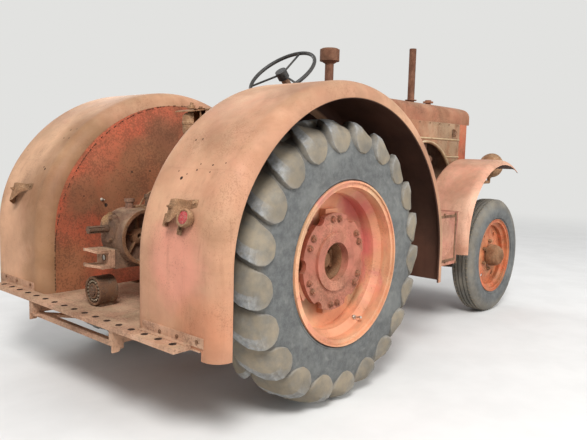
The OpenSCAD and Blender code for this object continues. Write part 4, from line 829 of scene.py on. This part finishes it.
REAR_OUTLINE = [
    (0.617, 0.0), (0.6155, 0.05), (0.607, 0.100), (0.588, 0.130), (0.558, 0.147), (0.52, 0.1555),
    (0.48, 0.158), (0.44, 0.159), (0.405, 0.158), (0.390, 0.157), (0.3885, 0.1595), (0.3835, 0.1595),
    (0.382, 0.156), (0.377, 0.1515), (0.3572, 0.148)]
FRONT_OUTLINE = [
    (0.4222, 0.0), (0.4222, 0.0105), (0.4105, 0.0125), (0.4105, 0.0175), (0.4218, 0.0195), (0.4205, 0.036),
    (0.409, 0.038), (0.409, 0.0435), (0.4185, 0.0455), (0.4165, 0.056), (0.409, 0.065), (0.397, 0.0725),
    (0.378, 0.079), (0.350, 0.0845), (0.322, 0.0855), (0.300, 0.082), (0.2905, 0.0785), (0.2895, 0.0805),
    (0.2855, 0.080), (0.2845, 0.075), (0.2745, 0.0660), (0.2555, 0.0640)]


def add_lug(bm, outline, table, side, turn, mean_r, wear):
    """One lug, a grid laid over the tyre's outline. Its worn height is a share of the new one."""
    rubbed_sheen, lug = (bm.verts.layers.float[each] for each in ("rubbed_sheen", "lug"))
    columns = len(TREAD_SECTION) - 1
    grid = bmesh.ops.create_grid(bm, x_segments=columns, y_segments=len(table) - 1, size=1)["verts"]
    for v in grid:
        k, along = round((v.co.x + 1) / 2 * columns), (v.co.y + 1) / 2
        s, lead, half, tall, share, shoulder = (read_table(table, along, c) for c in range(6))
        p, g, bright = (a + (b - a) * shoulder for a, b in zip(TREAD_SECTION[k], SHOULDER_SECTION[k]))
        height = tall * (min(g, share) if share < 1 else g)
        point, normal = outline.at(s)
        off = point + normal * (height * (wear if height > 0.02 else 1))
        angle = turn + (lead + p * half) / mean_r
        v.co = Vector((off.x * math.sin(angle), off.y * side, off.x * math.cos(angle)))
        v[rubbed_sheen] = bright * min(share, 1) if share > 0 else 0.0
        v[lug] = 1.0 if g > 0 else 0.3
    if side < 0:
        bmesh.ops.reverse_faces(bm, faces=list({f for v in grid for f in v.link_faces}))


def make_tyre(name, body, middle, line, steps, lugs, table, mean_r, finish):
    """A spun carcass with rows of lugs that alternate from side to side."""
    bm = bmesh.new()
    for layer in ("rubbed_sheen", "lug"):
        bm.verts.layers.float.new(layer)
    half = [tuple(p) for p in line]
    turned(bm, [(r, -y) for r, y in reversed(half[1:])] + half, steps, Vector((0, 0, 1)), Vector((0, 1, 0)))
    mend(bm)
    outline = TyreSide(line)
    rng = random.Random(name)
    for k in range(lugs):
        for side, lag in ((1, 0.0), (-1, 0.5)):
            add_lug(bm, outline, table, side, (k + lag) * math.tau / lugs, mean_r, rng.uniform(0.93, 1.0))
    bm.normal_update()
    bmesh.ops.translate(bm, verts=bm.verts, vec=middle)
    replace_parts(finished(name, bm, finish, 17, body, "tyre_rubber"), name.replace("_rubber", "_tyre"))


REAR_Y, FRONT_Y = 0.710, 0.530


def fit_tyres():
    for side, word in SIDES:
        make_tyre(f"rear_{word}_rubber", f"rear_{word}_wheel", REAR_AXLE + Vector((0, side * REAR_Y, 0)),
                  smooth_line(REAR_OUTLINE, 2), 105, 21, REAR_LUG, 0.6, "rear_rubber")
        make_tyre(f"front_{word}_rubber", f"front_{word}_wheel", FRONT_AXLE + Vector((0, side * FRONT_Y, 0)),
                  FRONT_OUTLINE, 96, 76, FRONT_LUG, 0.4, "front_rubber")


# Wheels' small parts

BOLT_CIRCLE, BOLT_PAIR = 0.197, 0.024
CENTRE_FACE = 0.7875
VALVE_TURN = math.radians(152)
VALVE_FOOT, VALVE_TIP = (0.326, 0.80), (0.318, 0.842)


def fit_wheel_bolts():
    """A pair of bolts through each lobe of the rear wheels' cast centres."""
    for side, word in SIDES:
        spots = []
        for lobe in range(6):
            sine, cosine = math.sin(lobe * math.pi / 3), math.cos(lobe * math.pi / 3)
            for x in (-BOLT_PAIR, BOLT_PAIR):
                spots.append((REAR_AXLE + Vector((x * cosine + BOLT_CIRCLE * sine, side * CENTRE_FACE,
                                                  BOLT_CIRCLE * cosine - x * sine)), (0, side, 0)))
        bolt_piece(f"rear_{word}_centre_bolts", spots, 0.0155, "red_bolt", 0.006, body=f"rear_{word}_wheel")
        fit_valve(side, word)


def fit_valve(side, word):
    """The tube's valve, which comes out of the rim."""
    bm = bmesh.new()
    out = Vector((math.sin(VALVE_TURN), 0, math.cos(VALVE_TURN)))
    foot, tip = (REAR_AXLE + out * r + Vector((0, side * y, 0)) for r, y in (VALVE_FOOT, VALVE_TIP))
    add_pipe(bm, [foot, foot + (tip - foot) * 0.5, tip], 0.0042)
    add_disc(bm, facing(foot, tip - foot), 0.011, -0.006, 0.004, 12, 0.001)
    add_disc(bm, facing(tip, tip - foot), 0.0065, -0.012, 0.002, 10, 0.001)
    mended(f"rear_{word}_valve", bm, "bright_steel", 35, f"rear_{word}_wheel")


# On the fenders

# Rows of a bent strap: place across, height off the surface, lower and upper edge
BRACKET = [
    (-0.115, 0.002, -0.052, -0.008), (-0.082, 0.002, -0.055, 0.0), (-0.074, 0.010, -0.056, 0.018),
    (-0.062, 0.034, -0.052, 0.034), (-0.040, 0.050, -0.046, 0.042), (-0.014, 0.050, -0.040, 0.046),
    (0.004, 0.036, -0.004, 0.048), (0.014, 0.014, 0.018, 0.050), (0.022, 0.002, 0.024, 0.056),
    (0.058, 0.002, 0.032, 0.060)]


def fit_strap_brackets():
    """A bent strap arches out of each fender's back, between two ears."""
    for word, px, py in (("left", 25, 194), ("right", 185, 214)):
        where = facing(*sight(px, py, "fender_backs"))
        bm = bmesh.new()
        add_strap(bm, where, BRACKET, 0.0032)
        for x, y in ((-0.100, -0.022), (-0.094, -0.040), (0.042, 0.045)):
            add_bolt(bm, where @ shift(x, y, 0.004), 0.007, 0.4, False)
        add_bolt(bm, where @ facing((-0.030, 0.012, 0.051), (-0.1, 0, 1)), 0.009, 0.1, True, 0.008)
        strap = mended(f"{word}_strap_bracket", bm, "strap_rust")
        if word == "right":
            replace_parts(strap, "lamp_brackets")


# Here and below, tables of pairs are closed lines of (radius, height) to spin
REFLECTOR_CUP = [
    (0.0005, 0.004), (0.018, 0.004), (0.031, 0.010), (0.0345, 0.018), (0.0355, 0.036), (0.0345, 0.0405),
    (0.0300, 0.0410), (0.0262, 0.0385), (0.0250, 0.0345), (0.0005, 0.0345)]
REFLECTOR_LENS = [
    (0.0005, 0.0340), (0.0248, 0.0340), (0.0246, 0.0375), (0.018, 0.0395), (0.010, 0.0405),
    (0.0005, 0.0408)]
LAMP_CAN = [
    (0.0005, 1.218), (0.030, 1.215), (0.040, 1.220), (0.0435, 1.232), (0.0440, 1.258), (0.0475, 1.262),
    (0.0475, 1.270), (0.0445, 1.274), (0.0440, 1.296), (0.036, 1.308), (0.022, 1.312), (0.020, 1.322),
    (0.0005, 1.323)]


def fit_reflector_and_lamp():
    """The red reflector on the right fender's back, and the old work lamp on the wall inside it."""
    where = facing(*sight(190.5, 219.5, "fender_backs"))
    bm = bmesh.new()
    add_turned(bm, where, REFLECTOR_CUP, 40)
    add_disc(bm, where, 0.014, 0.0, 0.008, 16)
    add_strap(bm, where, [(-0.060, 0.002, -0.060, -0.030), (-0.032, 0.002, -0.062, -0.024),
                          (-0.018, 0.014, -0.040, -0.006)], 0.003)
    add_bolt(bm, where @ shift(-0.046, -0.045, 0.004), 0.008)
    plate = facing(place(-0.47, -0.3868, 1.25), (0, 1, 0))
    add_strap(bm, plate, [(-0.032, 0.006, -0.08, 0.084), (0.032, 0.006, -0.08, 0.074)], 0.006)
    top = Matrix.Translation(place(-0.445, -0.33, 1.330))
    add_strap(bm, top, [(-0.074, -0.012, -0.056, 0.058), (0.0, 0.0, -0.056, 0.060),
                        (0.074, 0.010, -0.056, 0.050), (0.078, 0.004, -0.056, 0.050)], 0.005)
    add_turned(bm, Matrix.Translation(place(-0.468, -0.330, 0)), LAMP_CAN, 40)
    add_bolt(bm, top @ shift(-0.02, 0.01, 0.001), 0.017, 0.2, True, 0.012)
    add_bolt(bm, top @ shift(0.035, 0.015, 0.006), 0.010, 0.5)
    spring = [place(-0.425 + 0.013 * math.cos(k * 0.7), -0.300 + 0.013 * math.sin(k * 0.7),
                    1.262 + k * 0.0016) for k in range(40)]
    add_pipe(bm, spring, 0.0026, 6)
    old = set(bm.faces)
    add_turned(bm, where, REFLECTOR_LENS, 40)
    coat_since(bm, old, 1)
    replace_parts(mended("reflector_and_work_lamp", bm, "strap_rust red_lens"), "rear_lamps")


# Small holes that were drilled and torn in the fenders, shown as dark discs of painted shade. Columns: pixel
# across, pixel down, radius
FENDER_HOLES = [
    (181.5, 178, 0.0075), (179, 171, 0.003), (187, 174, 0.003), (197, 170, 0.004), (213, 165, 0.004),
    (201, 164, 0.003), (210, 172, 0.003), (196, 140, 0.004), (203, 139, 0.004), (64, 138, 0.004),
    (69, 138, 0.004), (71, 130, 0.004), (77, 129, 0.003), (45, 169, 0.006), (44, 167, 0.004),
    (28, 150, 0.003), (226, 163, 0.003)]
WALL_HOLES = [
    (132, 172, 0.0055), (150, 171, 0.0055), (164.5, 167.5, 0.005), (106, 205, 0.010), (84, 196, 0.004)]


def mark_holes(name, spots, *nodes):
    bm = bmesh.new()
    for px, py, radius in spots:
        # Each hole is a thin dark disc laid on the surface: painted shade where the hole is
        add_disc(bm, facing(*sight(px, py, *nodes)), radius, -0.002, 0.0007, 14, 0.0004)
    mended(name, bm, "painted_hole_shade", 40, slot="paint_fender")


def mark_fender_holes():
    mark_holes("fender_holes", FENDER_HOLES, "fender_backs", "left_fender", "right_fender")
    mark_holes("wall_holes", WALL_HOLES, "fender_walls")


# The seam's arch and the place where its straight part starts below the arch
SEAM_X, SEAM_Y, SEAM_Z, SEAM_R = 0.042, 0.3855, 0.612, 0.7885
SEAM_FOOT = -0.18


def weld_seams():
    """The rough seam along each inner wall's edge, and rivets at the fenders' feet."""
    rng = random.Random("seams")
    line = [(-SEAM_R, SEAM_FOOT + k * 0.018) for k in range(10)]
    line += [(-SEAM_R * math.cos(k * 0.024), SEAM_R * math.sin(k * 0.024)) for k in range(118)]
    for side, word in SIDES:
        bm = bmesh.new()
        path = [place(SEAM_X + x + rng.uniform(-0.001, 0.001), side * SEAM_Y,
                      SEAM_Z + z + rng.uniform(-0.001, 0.001)) for x, z in line]
        for here, beyond in zip(path, path[1:]):
            if rng.random() < 0.78:
                bead = [here, here.lerp(beyond, rng.uniform(0.5, 0.9))]
                add_pipe(bm, bead, rng.uniform(0.0014, 0.0028), 6)
        mended(f"{word}_wall_seam", bm, "seam_rust", 50, slot="paint_wall")
    spots = [sight(px, py, "deck_plates", "drawbar", "fender_backs")
             for px, py in ((6.8, 276), (17.2, 280), (30.7, 284.5), (160, 331), (177, 336), (197, 342))]
    bolt_piece("fender_foot_rivets", spots, 0.008, washer=False)


# On the gearbox and the deck

JAW_Z = 0.648
LIP_HALF = 0.062
FLARE_X = -0.762
LIP = [
    (-0.805, 0.0), (-0.803, 0.014), (-0.794, 0.034), (-0.779, 0.052), (-0.757, LIP_HALF),
    (-0.730, LIP_HALF), (-0.708, 0.060), (-0.696, 0.058), (-0.694, 0.030)]
PIN_HOLE = (-0.752, 0.0, 0.017)


def fit_hitch_jaw():
    """Two lips with rounded points, which flare apart behind the pin's holes."""
    bm = bmesh.new()
    for up in (1, -1):
        for v in add_holed_plate(bm, LIP + [(x, -y) for x, y in reversed(LIP[1:])], 0.030, 0.042, PIN_HOLE):
            flare = max(0.0, FLARE_X - v.co.x) * 0.26 * up
            droop = 0.006 * (v.co.y / LIP_HALF) ** 2 if v.co.x < -0.77 else 0
            v.co = place(v.co.x, v.co.y, JAW_Z + (v.co.z + flare - droop) * up)
    level = Matrix.Translation(place(0, 0, JAW_Z))
    add_block(bm, level, (-0.709, -0.064, -0.0425), (-0.690, 0.064, 0.0425), 0.003)
    add_block(bm, level, (-0.722, -0.062, -0.031), (-0.700, -0.052, 0.031), 0.002)
    hole = facing(place(-0.709, 0, JAW_Z), (-1, 0, 0))
    old = set(bm.faces)
    add_turned(bm, hole, [(0.0125, 0.0), (0.016, 0.0), (0.016, 0.003), (0.0125, 0.003)], 24)
    coat_since(bm, old, 1)
    # A bright disc fills the hole in the back plate: painted light seen through it
    old = set(bm.faces)
    add_disc(bm, hole, 0.0122, -0.002, 0.0012, 20)
    coat_since(bm, old, 2)
    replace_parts(mended("jaw", bm, "deck_rust case_iron bright_steel"), "hitch_jaw")


def add_holed_plate(bm, outline, low, high, hole):
    """A plate of a given outline between two heights, with a round hole of (x, y, radius)."""
    x, y, radius = hole
    verts = [bm.verts.new((x, y, low)) for x, y in outline]
    edges = [bm.edges.new(pair) for pair in zip(verts, verts[1:] + verts[:1])]
    ring = bmesh.ops.create_circle(bm, segments=len(outline), radius=radius, matrix=shift(x, y, low))["verts"]
    edges += list(dict.fromkeys(e for v in ring for e in v.link_edges))
    faces = bmesh.ops.bridge_loops(bm, edges=edges)["faces"]
    grown = bmesh.ops.extrude_face_region(bm, geom=faces)["geom"]
    grown = [g for g in grown if isinstance(g, bmesh.types.BMVert)]
    bmesh.ops.translate(bm, verts=grown, vec=(0, 0, high - low))
    return verts + ring + grown


COVER_X, COVER_Z = -0.686, 0.78
DRUM = (-0.56, -0.118, 0.742)
DRUM_RING = [
    (0.1135, -0.004), (0.1290, -0.004), (0.1300, -0.001), (0.1290, 0.0022), (0.1145, 0.0022), (0.1130, 0.0)]
DRUM_BOSS = [(0.012, -0.080), (0.040, -0.080), (0.036, -0.066), (0.022, -0.058), (0.012, -0.056)]


def fit_gearbox_details():
    """Bolts of the power take-off's cover, and the ring, bolts and web of the round opening in the side."""
    ears = [(place(COVER_X, y, COVER_Z + z), (-1, 0, 0)) for y, z in around(3, 0.056)]
    bolt_piece("pto_cover_bolts", ears, 0.011, stud=0.004)
    rim = [(place(DRUM[0] + x, DRUM[1], DRUM[2] + z), (0, -1, 0)) for x, z in around(8, 0.121, 0.3)]
    bolt_piece("drum_bolts", rim, 0.006, washer=False)
    bm = bmesh.new()
    drum = facing(place(*DRUM), (0, -1, 0))
    add_turned(bm, drum, DRUM_RING, 64)
    add_turned(bm, drum, DRUM_BOSS, 32)
    for k in range(5):
        spoke = drum @ spun(k * math.tau / 5 + 0.4)
        add_block(bm, spoke, (0.034, -0.004, -0.082), (0.112, 0.004, -0.062), 0.002)
    mended("drum_rim_and_web", bm, "hub_iron")


def fit_bent_rods():
    """Two rods that arch over the gearbox behind the filler cap, and a bright bolt on the left wall."""
    bm = bmesh.new()
    down = Vector((0, 0, -1))
    for off in (0.0, 0.024):
        feet = [searchable("gearbox").ray_cast(place(x, y, 1.3), down)[0] + down * 0.002
                for x, y in ((-0.49 + off, 0.045), (-0.40 + off, -0.088))]
        rise = [(k / 14, (0.084 - off) * math.sin(math.pi * k / 14) ** 0.8) for k in range(15)]
        add_pipe(bm, [feet[0].lerp(feet[1], share) + Vector((0, 0, up)) for share, up in rise], 0.0046)
        for foot in feet:
            add_disc(bm, facing(foot, (0, 0, 1)), 0.010, 0.0, 0.008, 12, 0.001)
    mended("bent_rods", bm, "strap_rust", 40)
    bolt_piece("wall_bolt", [sight(102, 199.5, "fender_walls")], 0.009, "bright_steel", 0.018)


OUTER_RACE = [
    (0.0560, -0.002), (0.0665, -0.002), (0.0675, 0.0005), (0.0660, 0.0026), (0.0575, 0.0026),
    (0.0560, 0.0010)]
INNER_RACE = [
    (0.0255, -0.002), (0.0350, -0.002), (0.0355, 0.0010), (0.0340, 0.0030), (0.0265, 0.0030),
    (0.0255, 0.0010)]


def fit_bearing():
    """Balls between the rings of the bearing that lies on the deck, and rivets in its middle."""
    front = facing(Vector((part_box("ball_bearing")[0][0] + 0.007, 0.034, 0.491)), (-1, 0, 0))
    bm = bmesh.new()
    for x, y in around(17, 0.0455):
        bmesh.ops.create_icosphere(bm, subdivisions=2, radius=0.0078, matrix=front @ shift(x, y, -0.0035))
    finished("bearing_balls", bm, "ball_steel", 60, slot="bare_steel")
    bm = bmesh.new()
    add_turned(bm, front, OUTER_RACE, 64)
    add_turned(bm, front, INNER_RACE, 48)
    for x, y in around(6, 0.014):
        add_disc(bm, front @ shift(x, y, 0), 0.0032, 0.004, 0.0092, 10, 0.001)
    mended("bearing_rings", bm, "bolt_rust")


RAIL_X, RAIL_TOP, RAIL_PITCH = -1.73125, 0.432, 0.088
RAIL_LINING = [(0.0128, -0.016), (0.0148, -0.016), (0.0150, 0.0004), (0.0138, 0.0009), (0.0130, 0.0004)]


def mark_rail_holes():
    """Painted shade in the row of holes in the drawbar's rail: a dark lining inside each hole."""
    bm = bmesh.new()
    for k in range(-8, 9):
        add_turned(bm, shift(RAIL_X, k * RAIL_PITCH, RAIL_TOP), RAIL_LINING, 20)
    mended("rail_hole_shade", bm, "painted_hole_shade", 40)


# Hood, boxes and headlamps

LATCH = [(0, 0.020, 0.004), (0, 0.020, 0.012), (0, 0.008, 0.018), (0, -0.016, 0.016), (0, -0.030, 0.010)]
ARCH_X, ARCH_Z, ARCH_R = 1.704, 0.844, 0.412
HOOD_FRONT = 2.198
RIVET_START, RIVET_PITCH = 1.02, 0.142


def fit_hood_details():
    """Rivets, latches, and the rolled rims and beads of the hood's sides."""
    spots = [(place(RIVET_START + k * RIVET_PITCH, side * 0.2785, 1.388), (0, side, 0))
             for side in (1, -1) for k in range(9)]
    bolt_piece("hood_rivets", spots, 0.006, washer=False, slot="paint_hood_side")
    bm = bmesh.new()
    for side in (1, -1):
        for x in (1.10, 2.10):
            where = facing(place(x, side * 0.278, 1.33), (0, side, 0))
            add_block(bm, where, (-0.014, -0.030, -0.001), (0.014, 0.030, 0.004), 0.0015)
            add_pipe(bm, [where @ Vector(c) for c in LATCH], 0.004, 8)
            add_bolt(bm, where @ shift(0, 0.020, 0.004), 0.008, 0.2, False)
    mended("hood_latches", bm, "bolt_rust")
    bm = bmesh.new()
    for side in (1, -1):
        angles = [math.radians(4 * k + 2) for k in range(45)]
        add_pipe(bm, [place(ARCH_X + ARCH_R * math.cos(a), side * 0.2775, ARCH_Z + ARCH_R * math.sin(a))
                      for a in angles], 0.0075)
        for z, back in ((1.28, 0.985), (1.15, 2.0)):
            bead = [place(back + (HOOD_FRONT - back) * k / 8, side * 0.2725, z) for k in range(9)]
            add_pipe(bm, bead, 0.0060)
    mended("hood_rims_and_beads", bm, "bead_paint", 40, slot="paint_hood_side")


FRAME_X, FRAME_Z, FRAME_MIDDLE = 0.262, 0.142, 0.632


def fit_box_frames():
    """A flat frame on the outer face of each box between the fenders, and screws on the near one."""
    low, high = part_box("side_boxes")
    bm = bmesh.new()
    for side in (1, -1):
        panel = shift((low[0] + high[0]) / 2, side * (high[1] - 0.0005), FRAME_MIDDLE)
        for x in (-FRAME_X, FRAME_X):
            add_block(bm, panel, (x - 0.010, -0.0035, -0.150), (x + 0.010, 0.0035, 0.150), 0.001)
        for z in (-FRAME_Z, FRAME_Z):
            add_block(bm, panel, (-0.270, -0.003, z - 0.009), (0.270, 0.003, z + 0.009), 0.001)
    mended("box_frames", bm, "bolt_rust")
    spots = [sight(px, py, "side_boxes") for px, py in ((444.5, 215), (455.5, 214), (444.5, 262), (455, 262))]
    bolt_piece("box_screws", spots, 0.008)


LAMP_Y, LAMP_Z = 0.392, 1.092
LAMP_GLASS = [
    (0.0005, -0.004), (0.084, -0.004), (0.084, 0.0), (0.070, 0.006), (0.045, 0.011), (0.020, 0.0135),
    (0.0005, 0.014)]
LAMP_RIM = [
    (0.082, -0.006), (0.0945, -0.006), (0.0955, 0.004), (0.0920, 0.0095), (0.0840, 0.0095), (0.0820, 0.003)]


def fit_lamp_glass():
    """The headlamps' glass and bright rims."""
    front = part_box("headlamps")[1][0] - 0.020
    lamps = [facing((front, y, LAMP_Z), (1, 0, 0)) for y in (LAMP_Y, -LAMP_Y)]
    bm = bmesh.new()
    for where in lamps:
        add_turned(bm, where, LAMP_GLASS, 48)
    old = set(bm.faces)
    for where in lamps:
        add_turned(bm, where, LAMP_RIM, 48)
        add_bolt(bm, where @ shift(0, -0.0985, -0.004), 0.007, 0.2, False)
    coat_since(bm, old, 1)
    mended("headlamp_glass", bm, "lamp_glass bright_steel")


GAUGE_Y, GAUGE_Z = 0.17, 1.30
GAUGE_FACE = [(0.0005, -0.002), (0.034, -0.002), (0.034, 0.004), (0.0005, 0.004)]
GAUGE_RIM = [(0.033, -0.002), (0.040, -0.002), (0.040, 0.006), (0.037, 0.010), (0.033, 0.008)]


def fit_gauges():
    """Two round gauges on the cowl's back, with a hand and a ring of marks on each."""
    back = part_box("cowl")[0][0]
    dials = [facing((back, y, GAUGE_Z), (-1, 0, 0)) for y in (-GAUGE_Y, GAUGE_Y)]
    bm = bmesh.new()
    for where in dials:
        add_turned(bm, where, GAUGE_FACE, 40)
    old = set(bm.faces)
    for where in dials:
        add_turned(bm, where, GAUGE_RIM, 40)
        add_block(bm, where @ spun(0.7), (-0.001, -0.006, 0.004), (0.001, 0.026, 0.006))
        for k in range(9):
            add_block(bm, where @ spun(-2.1 + k * 0.525), (-0.0008, 0.026, 0.0038), (0.0008, 0.031, 0.0046))
    coat_since(bm, old, 1)
    mended("gauges", bm, "dial_face bright_steel", slot="black_plastic")


for step in (look_through_camera, light_studio, lay_floor, paint_nodes, fit_tyres, fit_wheel_bolts,
             fit_strap_brackets, fit_reflector_and_lamp, mark_fender_holes, weld_seams, fit_hitch_jaw,
             fit_gearbox_details, fit_bent_rods, fit_bearing, mark_rail_holes, fit_hood_details,
             fit_box_frames, fit_lamp_glass, fit_gauges):
    step()
